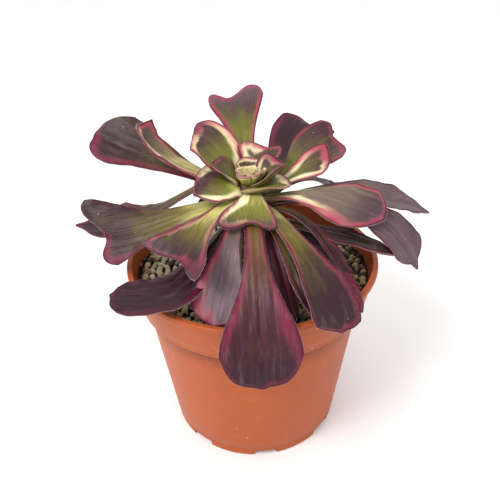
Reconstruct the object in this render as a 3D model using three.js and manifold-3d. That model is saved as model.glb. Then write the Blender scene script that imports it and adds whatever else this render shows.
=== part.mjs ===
// Potted aeonium: a variegated rosette succulent in a 12 cm plastic nursery pot.
// Millimetres, +Z up, pot axis on Z, the foot of the pot on z = 0, front towards -Y.
import * as THREE from 'three';
import { mergeVertices } from 'three/addons/utils/BufferGeometryUtils.js';
import Module from 'manifold-3d';

const wasm = await Module();
wasm.setup();
const { Manifold, Mesh: SolidMesh } = wasm;

// ---------------------------------------------------------------- sizes
// Pot
const RIM_R = 60;          // outside of the lip
const POT_H = 94;          // top of the lip
const LIP_H = 2.6;         // height of the lip band
const COLLAR_TOP_R = 58.7; // outside of the collar under the lip
const COLLAR_LOW_R = 55.6; // outside of the collar at its lower edge
const STEP_Z = 74.6;       // where the collar steps in to the body
const BODY_R = 53;         // body just under the step
const FOOT_R = 44;         // foot ring
const WALL = 1.5;
const FLOOR_Z = 3.6;       // underside of the floor, above the foot ring
const FLOOR_T = 1.9;
const POT_SEG = 64;
const NOTCHES = 8;         // drainage notches in the foot ring
const NOTCH_W = 12;
const NOTCH_H = 3.4;
const NOTCH_AZ = -84.5;    // azimuth of the first notch, in degrees
const DRAIN_R = 3.2;
const DRAIN_AT = 35;

// Soil and the gravel over it
const GAP = 0.3;           // what neighbouring pieces keep between them
const SOIL_TOP = 83.6;
const GRAVEL_TOP = 86.6;   // mean level of the grains
const PEBBLES = 42;

// Stem
const STEM = [             // z, radius
  [42, 1.6], [46, 3.6], [60, 5.6], [80, 7], [92, 7.6], [112, 7.3], [120, 6.4], [126, 5.4], [129.8, 4.6],
];
const HOLE_R = 8.2;        // the plain hole that the stem stands in

// Leaves. az, reach, tip: where the blade ends (azimuth, radius, height).
// base: height of its foot on the stem; sway: how far round the stem the foot sits from az.
// climb, fall: slopes at the foot and the tip; turn: how much it swings sideways at the tip.
// blade, neck: widths; tm: where the blade is widest; flare: how late it widens; end: width kept at the tip.
// round, corner, slant, mucro, notch, dip: outline of the tip; cup, skew, roll, roll0: how it is channelled and rolled;
// wave, phase: rippled margins; nod: how far the tip hangs back.
const LEAVES = [
  { name: 'leaf_inner_right_back', id: '26', az: 16, reach: 14.5, tip: 138, base: 130.4, climb: 30, fall: 35, blade: 18, neck: 15, cup: 0.5, roll: 10, sway: -48, corner: 0.1, round: 0.12, slant: -0.15 },
  { name: 'leaf_inner_left_back', id: '28', az: 172, reach: 16.5, tip: 139, base: 130.1, climb: 38, fall: 20, blade: 20.4, neck: 10, cup: 0.28, roll: -6, mucro: 0.05, round: 0.45 },
  { name: 'leaf_inner_back', id: '27', az: 67, reach: 18, tip: 142.6, base: 129.5, climb: 55, fall: 40, blade: 24, neck: 11, cup: 0.35, slant: 0, notch: 0.12, dip: -0.2, round: 0.1, corner: 0.25 },
  { name: 'leaf_inner_right', id: '25', az: -20, reach: 18.5, tip: 132, base: 129, climb: 18, fall: 0, blade: 24, neck: 16, cup: 0.15, roll: -8, sway: -45, corner: 0.1, round: 0.1 },
  { name: 'leaf_inner_left', id: '9', az: 177, reach: 24.2, tip: 133, base: 128.3, climb: 30, fall: -15, blade: 28, neck: 12, cup: -0.1, roll: -17, round: 0.05, end: 0.6, corner: 0.1, sway: 32, tm: 0.38, turn: -15, slant: 0.08, roll0: -17 },
  { name: 'leaf_inner_front', id: '10', az: -94, reach: 29, tip: 121, base: 127.2, climb: 16, fall: -50, blade: 26, neck: 8.5, cup: 0.1, round: 0, mucro: 0, end: 1, tm: 0.95, corner: 0.12, sway: 8, notch: 0.14, dip: 0.15 },
  { name: 'leaf_right_middle', id: '24', az: 2, reach: 35.5, tip: 139.6, base: 126.2, climb: 19, fall: 18, blade: 20, neck: 7, cup: 0.25, roll: 20, end: 1, round: 0.08, slant: -0.1, tm: 0.9 },
  { name: 'leaf_left_middle', id: '2', az: 149.5, reach: 30, tip: 147, base: 126.4, climb: 56, fall: -2, blade: 24, neck: 9, cup: 0.2, roll: -20, round: 0.02, end: 0.72, slant: 0.1, hb: 0.5, sway: -8, corner: 0.04, tm: 0.62, flare: 1.1, roll0: -8 },
  { name: 'leaf_back_right_low', id: '23', az: 23, reach: 47, tip: 143.5, base: 121.6, climb: 32, fall: 8, blade: 29, neck: 7, cup: 0.2, roll: 17, end: 1, round: 0.06, slant: -0.08, tm: 0.75, notch: 0.08, dip: 0.15, corner: 0.08 },
  { name: 'leaf_back_tall', id: '1', az: 98.5, reach: 61, tip: 159, base: 126.8, climb: 20, fall: 28, blade: 34, neck: 8.5, cup: 0.25, round: 0.1, slant: 0.04, nod: 0, flare: 2.6, tm: 0.95, notch: 0.13, dip: 0.1, corner: 0.12, sway: -6 },
  { name: 'leaf_right_broad', id: '18', az: -32, reach: 61.2, tip: 126.5, base: 123.8, climb: 22, fall: -12, blade: 25.5, neck: 7, cup: 0.12, roll: 25, round: 0.2, slant: -0.06 },
  { name: 'leaf_front_left', id: '7', az: -128.5, reach: 51, tip: 110.4, base: 125.4, climb: 2, fall: -35, blade: 39, neck: 7, cup: 0.3, round: 0.02, slant: -0.06, roll: 7, tm: 1, flare: 2.6, end: 1, notch: 0.09 },
  { name: 'leaf_front_right', id: '14', az: -57.5, reach: 64, tip: 88.2, base: 121.6, climb: 17, fall: -62, blade: 24, neck: 8, cup: 0.15, tm: 0.9, round: 0.05, flare: 3.2, slant: -0.05, sway: -12 },
  { name: 'leaf_back_right_high', id: '22', az: 56.3, reach: 60, tip: 142.2, base: 124.2, climb: 20, fall: 15, blade: 29, neck: 7, cup: 0.2, roll: 25, round: 0.05, notch: 0.07, slant: 0.06, dip: -0.1, tm: 0.75, corner: 0.05 },
  { name: 'leaf_left_channelled', id: '4', az: 167, reach: 51, tip: 154, base: 125, climb: 23, fall: 75, blade: 14.5, neck: 7.5, cup: 0.5, roll: 0, hb: 0.55, ht: 0.35, round: 0, end: 1 },
  { name: 'leaf_left_spoon', id: '3', az: 161, reach: 79, tip: 147, base: 122, climb: 27, fall: 22, blade: 31, neck: 6.5, cup: 0.32, roll: -32, round: 0.15, hb: 0.35, notch: 0.03, dip: 0.05, corner: 0.06 },
  { name: 'leaf_left_flared', id: '5', az: -172, reach: 75, tip: 110.4, base: 123, climb: -4, fall: 3, blade: 35, neck: 10.5, cup: 0.02, roll: -46, round: 0.03, slant: 0.1, end: 1, tm: 1, flare: 2.6, sway: 9, notch: 0.12, corner: 0.05 },
  { name: 'leaf_front_large', id: '11', az: -88, reach: 71, tip: 76, base: 124.6, climb: -5, fall: -70, blade: 33, neck: 8, cup: 0.1, flare: 3.6, round: 0.04, tm: 0.86, mucro: 0.01, hb: 0.35, corner: 0.12 },
  { name: 'leaf_right_long', id: '19', az: 2, reach: 81, tip: 112.5, base: 118.6, climb: 21, fall: -22, blade: 17, neck: 6, cup: 0.3, roll: 20, mucro: 0.05, round: 0.2, tm: 0.7, hb: 0.38, end: 0.86, sway: 3 },
  { name: 'leaf_front_right_inner', id: '17', az: -65, reach: 60, tip: 95.5, base: 118.6, climb: 10, fall: -35, blade: 12, neck: 6, cup: 0.2 },
  { name: 'leaf_right_drooping', id: '20', az: -27.5, reach: 75, tip: 108, base: 120.2, climb: 28, fall: -60, blade: 19, neck: 6, cup: 0.2, roll: 25, mucro: 0.05, round: 0.1, tm: 0.95, flare: 2, end: 0.95 },
  { name: 'leaf_left_narrow', id: '6', az: 174, reach: 82, tip: 106, base: 123.4, climb: 60, fall: 0, blade: 25, neck: 4.5, cup: 0.2, mucro: 0.06, round: 0.25, roll: -20, hb: 0.36, ht: 0.62, sway: 14, flare: 3.6 },
  { name: 'leaf_front_left_low', id: '8', az: -141, reach: 73, tip: 103, base: 116.6, climb: -30, fall: 6, blade: 22.5, neck: 6.5, cup: -0.02, sway: 2, roll: -8, turn: -45, ht: 0.5, hb: 0.5, corner: 0.03, tm: 0.7, end: 0.75, round: 0.03 },
  { name: 'leaf_front_left_inner', id: '12', az: -107.5, reach: 54, tip: 90.5, base: 121.4, climb: 8, fall: -48, blade: 22, neck: 7, cup: 0.1, round: 0.1, flare: 2.5 },
  { name: 'leaf_right_thin', id: '31', az: -38.5, reach: 55, tip: 91, base: 117.6, climb: 42, fall: -72, blade: 5.8, neck: 4, cup: 0.3, roll: 20, sway: -6 },
  { name: 'leaf_right_under', id: '21', az: -32, reach: 68, tip: 112.6, base: 114.2, climb: 0, fall: -8, blade: 10.5, neck: 5.5, cup: 0.25, roll: 15, round: 0.4 },
  { name: 'leaf_front_slim', id: '16', az: -71, reach: 50, tip: 89.5, base: 116.4, climb: 10, fall: -45, blade: 11, neck: 6, cup: 0.1 },
  { name: 'leaf_front_right_low', id: '15', az: -46.8, reach: 64, tip: 92.4, base: 111.8, climb: 2, fall: -45, blade: 14.5, neck: 6, cup: 0.1, roll: 12, flare: 4, sway: -30 },
  { name: 'leaf_left_strip', id: '36', az: -146, reach: 47, tip: 116, base: 118, climb: 4, fall: -15, blade: 7, neck: 4.5, cup: 0.2, roll: -10, sway: 14 },
  { name: 'leaf_front_left_dark', id: '13', az: -115, reach: 46, tip: 90.5, base: 110.8, climb: -8, fall: -50, blade: 11, neck: 5.5, cup: 0.2, roll: -50 },
  { name: 'leaf_right_dark', id: '32', az: -33, reach: 42, tip: 101, base: 108.8, climb: 8, fall: -50, blade: 12, neck: 5.5, cup: 0.3, roll: 15 },
  { name: 'leaf_rear_1', id: 'b1', az: 109, reach: 60, tip: 102, base: 119, climb: 20, fall: -45, blade: 22, neck: 6 },
  { name: 'leaf_rear_2', id: 'b2', az: 80, reach: 71.5, tip: 98, base: 116, climb: 15, fall: -50, blade: 22, neck: 6 },
  { name: 'leaf_rear_3', id: 'b3', az: 42, reach: 62, tip: 107, base: 117.6, climb: 28, fall: -40, blade: 20, neck: 6 },
  { name: 'leaf_rear_4', id: 'b4', az: 119, reach: 45, tip: 98, base: 116, climb: 18, fall: -45, blade: 20, neck: 6 },
];
const LEAF_DEFAULTS = {
  sway: 0, turn: 0, roll: 0, roll0: 0, cup: 0.22, skew: 0, end: 0.92, tm: 0.84, flare: 1.5,
  round: 0.2, corner: 0, slant: 0, mucro: 0.012, notch: 0, dip: 0, wave: 0.6, phase: 0, hb: 0.42, ht: 0.36, nod: 0,
};
const LEAF_ROWS = 9;
const LEAF_COLS = 4;
const LEAF_T_FOOT = 2.2;   // thickness at the foot, on the midline
const LEAF_T_TIP = 1.3;
const LEAF_T_EDGE = 0.7;

// ---------------------------------------------------------------- helpers
const rad = (d) => (d * Math.PI) / 180;
const smooth = (x) => { const t = Math.min(1, Math.max(0, x)); return t * t * (3 - 2 * t); };
const polar = (az, r, z) => new THREE.Vector3(r * Math.cos(rad(az)), r * Math.sin(rad(az)), z);
const heading = (az, el) => new THREE.Vector3(
  Math.cos(rad(az)) * Math.cos(rad(el)), Math.sin(rad(az)) * Math.cos(rad(el)), Math.sin(rad(el)));

function seeded(seed) {
  let s = seed >>> 0;
  return () => {
    s = (s + 0x6d2b79f5) >>> 0;
    let t = Math.imul(s ^ (s >>> 15), 1 | s);
    t = (t + Math.imul(t ^ (t >>> 7), 61 | t)) ^ t;
    return ((t ^ (t >>> 14)) >>> 0) / 4294967296;
  };
}

function stemRadius(z) {
  if (z <= STEM[0][0]) return STEM[0][1];
  for (let i = 1; i < STEM.length; i++) {
    if (z <= STEM[i][0]) {
      const [z0, r0] = STEM[i - 1];
      const [z1, r1] = STEM[i];
      return r0 + ((r1 - r0) * (z - z0)) / (z1 - z0);
    }
  }
  return STEM[STEM.length - 1][1];
}

// A closed solid from a three.js geometry, with its shared corners merged.
function solidOf(geometry) {
  const bare = geometry.clone();
  bare.deleteAttribute('normal');
  bare.deleteAttribute('uv');
  const g = mergeVertices(bare, 1e-4);
  const index = g.index.array;
  const tris = [];
  for (let i = 0; i < index.length; i += 3) {
    const [x, y, z] = [index[i], index[i + 1], index[i + 2]];
    if (x !== y && y !== z && z !== x) tris.push(x, y, z);
  }
  const mesh = new SolidMesh({
    numProp: 3, vertProperties: new Float32Array(g.attributes.position.array), triVerts: new Uint32Array(tris),
  });
  mesh.merge();
  return new Manifold(mesh);
}

// A closed solid from points and triangles.
function solid(points, tris) {
  return solidOf(new THREE.BufferGeometry().setFromPoints(points).setIndex(tris.flat()));
}

const joined = (pieces) => pieces.reduce((whole, piece) => whole.add(piece));

// A profile of [r, z] corners, from the axis out and round to the axis or to its own start, turned about Z.
function turned(profile, segments) {
  const points = profile.map(([r, z]) => new THREE.Vector2(r, z));
  return solidOf(new THREE.LatheGeometry(points, segments).rotateX(Math.PI / 2));
}

const rod = (r, length, segments) => new THREE.CylinderGeometry(r, r, length, segments).rotateX(Math.PI / 2);

// ---------------------------------------------------------------- leaf
// A leaf's midline: a cubic curve from its foot on the stem to its tip.
function midline(l) {
  const lift = rad(l.climb);
  const foot = stemRadius(l.base - 1.1 * Math.cos(lift)) + GAP + 0.15 + (LEAF_T_FOOT / 2) * Math.abs(Math.sin(lift));
  const p0 = polar(l.az + l.sway, l.root ?? foot, l.base);
  const p3 = polar(l.az, l.reach, l.tip);
  const chord = p0.distanceTo(p3);
  const flat = (Math.atan2(p3.y - p0.y, p3.x - p0.x) * 180) / Math.PI;
  const p1 = p0.clone().addScaledVector(heading(l.az + l.sway, l.climb), chord * l.hb);
  const p2 = p3.clone().addScaledVector(heading(flat + l.turn, l.fall), -chord * l.ht);
  const curve = new THREE.CubicBezierCurve3(p0, p1, p2, p3);
  curve.arcLengthDivisions = 120;
  return { curve, p0, p3, length: curve.getLength() };
}

// The leaf's middle layer; extra makes it that much larger all round.
function leafGrid(spec, cols, rows, extra = 0) {
  const l = { ...LEAF_DEFAULTS, ...spec };
  const { curve, p0, p3, length } = midline(l);
  const az0 = rad(l.az + l.sway);
  let swing = Math.atan2(p3.y - p0.y, p3.x - p0.x) - az0;
  swing = Math.atan2(Math.sin(swing), Math.cos(swing));
  const mid = [];
  for (let i = 0; i <= rows; i++) {
    for (let j = 0; j <= cols; j++) {
      const u = -1 + (2 * j) / cols;
      const t = i / rows;
      const au = Math.abs(u);
      const cut = l.round * au ** 2.2 + l.corner * au ** 6 + l.slant * u
        - l.mucro * Math.exp(-((u / 0.16) ** 2)) + l.notch * Math.exp(-(((u - l.dip) / 0.45) ** 2));
      const s = Math.min(1.2, Math.max(0, t - cut * t ** Math.min(4, 0.9 / Math.max(cut, 0.01))));   // never folds back
      const sc = Math.min(1, s);
      const centre = curve.getPointAt(sc);
      const dir = curve.getTangentAt(sc);
      if (s > 1) centre.addScaledVector(dir, (s - 1) * length);
      if (i === 0) centre.addScaledVector(dir, -extra);
      if (i === rows) centre.addScaledVector(dir, extra);
      const phi = az0 + swing * sc;
      const side = new THREE.Vector3(-Math.sin(phi), Math.cos(phi), 0);
      side.addScaledVector(dir, -side.dot(dir)).normalize();
      const up = new THREE.Vector3().crossVectors(dir, side);
      const roll = rad(l.roll0 + (l.roll - l.roll0) * smooth(s));
      const across = side.clone().multiplyScalar(Math.cos(roll)).addScaledVector(up, Math.sin(roll));
      const over = up.clone().multiplyScalar(Math.cos(roll)).addScaledVector(side, -Math.sin(roll));
      let w = s < l.tm
        ? l.neck + (l.blade - l.neck) * smooth(s / l.tm) ** l.flare
        : l.blade * (1 - (1 - l.end) * ((s - l.tm) / Math.max(0.02, 1 - l.tm)) ** 2);
      const half = w / 2 + extra;
      const grow = smooth((s - 0.1) / 0.6);
      const cup = l.cup * (0.6 + 0.4 * grow) + l.skew * Math.sign(u) * grow;
      const lift = half * cup * au ** 1.7
        + l.wave * grow * au ** 3 * Math.sin(2 * Math.PI * (1.6 * s + l.phase) + Math.sign(u) * 1.3)
        - l.nod * smooth((s - 0.75) / 0.25) * (1 - au ** 1.5);
      const p = centre.addScaledVector(across, half * u * (1 - 0.12 * Math.abs(cup) * au)).addScaledVector(over, lift);
      const thick = Math.max(LEAF_T_EDGE, (LEAF_T_FOOT + (LEAF_T_TIP - LEAF_T_FOOT) * s) * (1 - 0.72 * au ** 2.5)) + 2 * extra;
      mid.push({ p, over, thick });
    }
  }
  return mid;
}

function leafSolid(spec, cols = LEAF_COLS, rows = LEAF_ROWS, extra = 0) {
  const mid = leafGrid(spec, cols, rows, extra);
  const n = cols + 1;
  const m = rows + 1;
  const points = mid.map(({ p, over, thick }) => p.clone().addScaledVector(over, thick / 2))
    .concat(mid.map(({ p, over, thick }) => p.clone().addScaledVector(over, -thick / 2)));
  const low = n * m;
  const tris = [];
  for (let i = 0; i < rows; i++) {
    for (let j = 0; j < cols; j++) {
      const a = i * n + j, b = a + 1, c = a + n + 1, d = a + n;
      // the same diagonal on both faces, falling away from the midline
      const quads = j < cols / 2 ? [[a, d, c], [a, c, b]] : [[a, d, b], [b, d, c]];
      for (const [x, y, z] of quads) {
        tris.push([x, y, z]);
        tris.push([low + x, low + z, low + y]);
      }
    }
  }
  const wall = (x, y) => { tris.push([x, y, low + y], [x, low + y, low + x]); };
  for (let j = 0; j < cols; j++) { wall(j, j + 1); wall(rows * n + j + 1, rows * n + j); }
  for (let i = 0; i < rows; i++) { wall((i + 1) * n, i * n); wall(i * n + cols, (i + 1) * n + cols); }
  return solid(points, tris);
}

// ---------------------------------------------------------------- pot
function makePot() {
  const lean = (BODY_R - FOOT_R) / STEP_Z;
  const innerAt = (z) => FOOT_R + lean * z - WALL;
  const collarLean = (COLLAR_TOP_R - COLLAR_LOW_R) / (POT_H - LIP_H - STEP_Z);
  const profile = [
    [0, FLOOR_Z], [FOOT_R - 2.4, FLOOR_Z], [FOOT_R - 2, 0], [FOOT_R, 0],
    [BODY_R, STEP_Z], [COLLAR_LOW_R - 0.3, STEP_Z], [COLLAR_LOW_R, STEP_Z + 0.5],
    [COLLAR_TOP_R, POT_H - LIP_H - 0.2], [RIM_R - 0.2, POT_H - LIP_H], [RIM_R, POT_H - LIP_H + 0.3],
    [RIM_R, POT_H - 0.4], [RIM_R - 0.4, POT_H], [RIM_R - 2.2, POT_H], [RIM_R - 2.5, POT_H - 0.3],
    [COLLAR_TOP_R - WALL, POT_H - LIP_H - 0.8],
    [COLLAR_LOW_R - WALL + collarLean * 1.2, STEP_Z + 1.2], [innerAt(STEP_Z - WALL), STEP_Z - WALL],
    [innerAt(FLOOR_Z + FLOOR_T), FLOOR_Z + FLOOR_T], [0, FLOOR_Z + FLOOR_T],
  ];
  let pot = turned(profile, POT_SEG);
  for (let k = 0; k < NOTCHES; k++) {
    const a = rad(NOTCH_AZ + (k * 360) / NOTCHES);
    const notch = new THREE.BoxGeometry(10, NOTCH_W, NOTCH_H * 2).translate(FOOT_R - 0.5, 0, 0).rotateZ(a);
    const drain = rod(DRAIN_R, 12, 16).translate(DRAIN_AT, 0, FLOOR_Z).rotateZ(a);
    pot = pot.subtract(solidOf(notch)).subtract(solidOf(drain));
  }
  return pot.subtract(solidOf(rod(DRAIN_R, 12, 16).translate(0, 0, FLOOR_Z)));
}

// ---------------------------------------------------------------- soil, gravel, stem
function potInner(z) {
  const lean = (BODY_R - FOOT_R) / STEP_Z;
  const collarLean = (COLLAR_TOP_R - COLLAR_LOW_R) / (POT_H - LIP_H - STEP_Z);
  return z < STEP_Z - WALL ? FOOT_R + lean * z - WALL : COLLAR_LOW_R - WALL + collarLean * (z - STEP_Z);
}

function makeSoil() {
  const z0 = FLOOR_Z + FLOOR_T + GAP;
  const zs = STEP_Z - WALL - 0.6;
  const body = turned([
    [0, z0], [potInner(z0) - GAP - 0.15, z0], [potInner(zs) - GAP - 0.15, zs],
    [potInner(zs) - GAP, STEP_Z + 1.6], [potInner(SOIL_TOP) - GAP - 0.2, SOIL_TOP], [0, SOIL_TOP],
  ], POT_SEG);
  return body.subtract(solidOf(rod(HOLE_R, POT_H, 24).translate(0, 0, STEM[0][0] - GAP + POT_H / 2)));
}

function makeGravel() {
  const rnd = seeded(12);
  const rings = [HOLE_R, 16, 26, 36, 46, potInner(GRAVEL_TOP - 0.6) - GAP - 0.2];
  const seg = 40;
  const points = [];
  const tris = [];
  for (const z of [1, 0]) {
    rings.forEach((r, k) => {
      for (let s = 0; s < seg; s++) {
        const a = ((s + 0.5 * (k % 2)) / seg) * 2 * Math.PI;
        const edge = k === 0 || k === rings.length - 1;
        const top = GRAVEL_TOP - 0.4 + (edge ? 0 : (rnd() - 0.5) * 1.1);
        points.push(new THREE.Vector3(r * Math.cos(a), r * Math.sin(a), z ? top : SOIL_TOP + GAP));
      }
    });
  }
  const at = (z, k, s) => z * rings.length * seg + k * seg + ((s + seg) % seg);
  for (let k = 0; k < rings.length - 1; k++) {
    for (let s = 0; s < seg; s++) {
      const odd = k % 2;
      const top = odd
        ? [[at(0, k, s), at(0, k + 1, s), at(0, k + 1, s + 1)], [at(0, k, s), at(0, k + 1, s + 1), at(0, k, s + 1)]]
        : [[at(0, k, s), at(0, k + 1, s), at(0, k, s + 1)], [at(0, k, s + 1), at(0, k + 1, s), at(0, k + 1, s + 1)]];
      for (const [x, y, z] of top) {
        tris.push([x, y, z]);
        const under = rings.length * seg;
        tris.push([under + x, under + z, under + y]);
      }
    }
  }
  const last = rings.length - 1;
  for (let s = 0; s < seg; s++) {
    tris.push([at(0, last, s), at(1, last, s), at(1, last, s + 1)], [at(0, last, s), at(1, last, s + 1), at(0, last, s + 1)]);
    tris.push([at(0, 0, s), at(0, 0, s + 1), at(1, 0, s + 1)], [at(0, 0, s), at(1, 0, s + 1), at(1, 0, s)]);
  }
  let bed = solid(points, tris);
  const grains = [];
  for (let i = 0; i < PEBBLES; i++) {
    const r = 12 + 41 * Math.sqrt((i + 0.5) / PEBBLES);
    const a = i * 2.399963 + (rnd() - 0.5) * 0.35;
    const size = 1.7 + 0.9 * rnd();
    const stone = new THREE.IcosahedronGeometry(1, 0)
      .scale(size, size * (0.7 + 0.25 * rnd()), size * 0.62)
      .rotateX(rad(rnd() * 40 - 20)).rotateY(rad(rnd() * 40 - 20)).rotateZ(rad(rnd() * 360))
      .translate(r * Math.cos(a), r * Math.sin(a), GRAVEL_TOP - 0.35);
    grains.push(solidOf(stone));
  }
  bed = joined([bed, ...grains]);
  return bed;
}

function makeStem() {
  // leaf scars ring the bare part of the stem in a shallow spiral
  const profile = [[0, STEM[0][0]]];
  for (const [z, r] of STEM) profile.push([r, z]);
  profile.push([0, STEM[STEM.length - 1][0]]);
  const stem = turned(profile, 20);
  const scars = [];
  for (let i = 0; i < 16; i++) {
    const z = 89 + i * 0.95;
    scars.push(solidOf(new THREE.BoxGeometry(1.2, 5.2, 1).rotateY(rad(-18))
      .translate(stemRadius(z) - 0.42, 0, z).rotateZ(rad(i * 137.5))));
  }
  return joined([stem, ...scars]);
}

// The growing point: a spiral of small leaves that still stand together as one bud.
const HEART = { base: 130.1, turns: 137.5, count: 13, hood: 3 };   // hood: how much the outermost one outgrows the rest
function makeHeart(extra = 0) {
  const pieces = [turned([
    [0, HEART.base - extra], [3.9 + extra, HEART.base - extra], [3.6 + extra, HEART.base + 2.2 + extra],
    [1.6 + extra, HEART.base + 4.4 + extra], [0, HEART.base + 5 + extra],
  ], 14)];
  for (let i = 0; i < HEART.count; i++) {
    const k = i / (HEART.count - 1);           // 0 outermost, 1 innermost
    const hood = i === 0 ? HEART.hood : 0;
    const spec = {
      az: 100 + i * HEART.turns, root: 2.4 - 1.6 * k, base: HEART.base + 0.9 + 2.6 * k,
      reach: 8.6 - 6 * k + 0.2 * hood, tip: HEART.base + 5.6 + 1.2 * k + hood, climb: 12 + 40 * k, fall: 48 + 30 * k,
      blade: 9.8 - 6.6 * k + hood, neck: 4.6 - 2.6 * k + 0.6 * hood, cup: 0.5, wave: 0.15, round: 0.3, mucro: 0.05,
    };
    pieces.push(leafSolid(spec, i < 5 ? 4 : 2, i < 5 ? 5 : 4, extra));
  }
  return joined(pieces);
}

// ---------------------------------------------------------------- assembly
const COLOURS = {
  pot: ['#b9683f', 0.55], soil: ['#2b2019', 0.95], gravel: ['#9d8f78', 0.9], stem: ['#6e5a3f', 0.8],
  young: ['#8f9a4c', 0.45], old: ['#5d3f48', 0.45],
};

function toMesh(name, body, [colour, roughness]) {
  const m = body.getMesh();
  const geometry = new THREE.BufferGeometry();
  const positions = new Float32Array(m.numVert * 3);
  for (let i = 0; i < m.numVert; i++) {
    for (let k = 0; k < 3; k++) positions[3 * i + k] = m.vertProperties[i * m.numProp + k];
  }
  geometry.setAttribute('position', new THREE.BufferAttribute(positions, 3));
  geometry.setIndex(new THREE.BufferAttribute(new Uint32Array(m.triVerts), 1));
  geometry.computeVertexNormals();
  const mesh = new THREE.Mesh(geometry, new THREE.MeshStandardMaterial({ color: colour, roughness, metalness: 0 }));
  mesh.name = name;
  return mesh;
}

const group = new THREE.Group();
group.name = 'potted_aeonium';
group.add(toMesh('pot', makePot(), COLOURS.pot));
group.add(toMesh('soil', makeSoil(), COLOURS.soil));
group.add(toMesh('gravel', makeGravel(), COLOURS.gravel));
const stem = makeStem();
group.add(toMesh('stem', stem, COLOURS.stem));
const heart = makeHeart();
group.add(toMesh('rosette_heart', heart, COLOURS.young));

// Crowded feet: where two leaves press together at the stem, the lower one is hollowed to clear the upper.
const leaves = [];
const heartRoom = makeHeart(GAP * 0.7);
LEAVES.forEach((spec, i) => {
  let body = leafSolid(spec);
  if (body.intersect(heart).volume() > 1e-4) body = body.subtract(heartRoom);
  for (const other of leaves) {
    if (body.intersect(other.body).volume() < 1e-4) continue;
    body = body.subtract(leafSolid(other.spec, LEAF_COLS, LEAF_ROWS, GAP * 0.7));
  }
  body = body.decompose().sort((a, b) => b.volume() - a.volume())[0];
  leaves.push({ spec, body });
  group.add(toMesh(spec.name, body, i < 10 ? COLOURS.young : COLOURS.old));
});

export default group;
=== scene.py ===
# %% [markdown]
# # A potted aeonium
#
# A variegated rosette succulent in a 12 cm plastic nursery pot. The lesson starts from the packed
# solids, which give every place and size, and then makes each visible surface again as the real one
# is: moulded plastic, loose grit, a scarred stem and thirty-five fleshy leaves round a tight bud.

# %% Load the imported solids
import math

import bpy
import numpy as np
from mathutils import Matrix, Vector


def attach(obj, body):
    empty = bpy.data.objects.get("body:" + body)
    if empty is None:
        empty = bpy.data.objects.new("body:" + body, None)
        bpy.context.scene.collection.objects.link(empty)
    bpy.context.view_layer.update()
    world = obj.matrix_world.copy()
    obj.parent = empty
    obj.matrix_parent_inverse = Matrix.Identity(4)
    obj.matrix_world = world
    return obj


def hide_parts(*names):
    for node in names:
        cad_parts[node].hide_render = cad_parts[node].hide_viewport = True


MM = 0.001
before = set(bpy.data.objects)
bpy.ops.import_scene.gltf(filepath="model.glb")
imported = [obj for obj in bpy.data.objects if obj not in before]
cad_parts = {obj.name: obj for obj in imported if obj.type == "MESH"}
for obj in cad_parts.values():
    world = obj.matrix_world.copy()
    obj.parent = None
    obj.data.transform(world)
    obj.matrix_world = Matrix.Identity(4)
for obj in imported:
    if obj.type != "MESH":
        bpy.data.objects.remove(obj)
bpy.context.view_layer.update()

# %% [markdown]
# ## The camera
#
# It stands in front of the pot at arm's length and looks down by about thirty degrees, so both the
# open rosette and the side of the pot can be seen. Its turn is written as three directions rather
# than as angles: where it looks, what is to its right, and what is up. The slight lean of a hand-held
# camera is a roll about the line of sight.

# %% Camera
CAMERA_AT = Vector((-1.0, -208.2, 220.0)) * MM   # millimetres from the foot's centre
CAMERA_DOWN = math.radians(31.0)
CAMERA_ROLL = math.radians(-1.47)

ahead = Vector((0, math.cos(CAMERA_DOWN), -math.sin(CAMERA_DOWN)))
level_right = Vector((1, 0, 0))
level_up = level_right.cross(ahead)
right = math.cos(CAMERA_ROLL) * level_right + math.sin(CAMERA_ROLL) * level_up
up = -math.sin(CAMERA_ROLL) * level_right + math.cos(CAMERA_ROLL) * level_up

camera = bpy.data.objects.new("camera", bpy.data.cameras.new("camera"))
bpy.context.scene.collection.objects.link(camera)
camera.data.sensor_width = 36
camera.data.lens = 36
camera.data.clip_start = 0.01
turn = Matrix((right, up, -ahead)).transposed().to_4x4()
camera.matrix_world = Matrix.Translation(CAMERA_AT) @ turn
bpy.context.scene.camera = camera
print("camera at", [round(v, 3) for v in camera.location], "lens", camera.data.lens)

# %% [markdown]
# ## A short way to write nodes
#
# Materials and Geometry Nodes are both trees of nodes. `Wiring` adds a node, gives its sockets either
# a value or a link, and returns it, so that a tree reads from top to bottom like a recipe.

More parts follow.
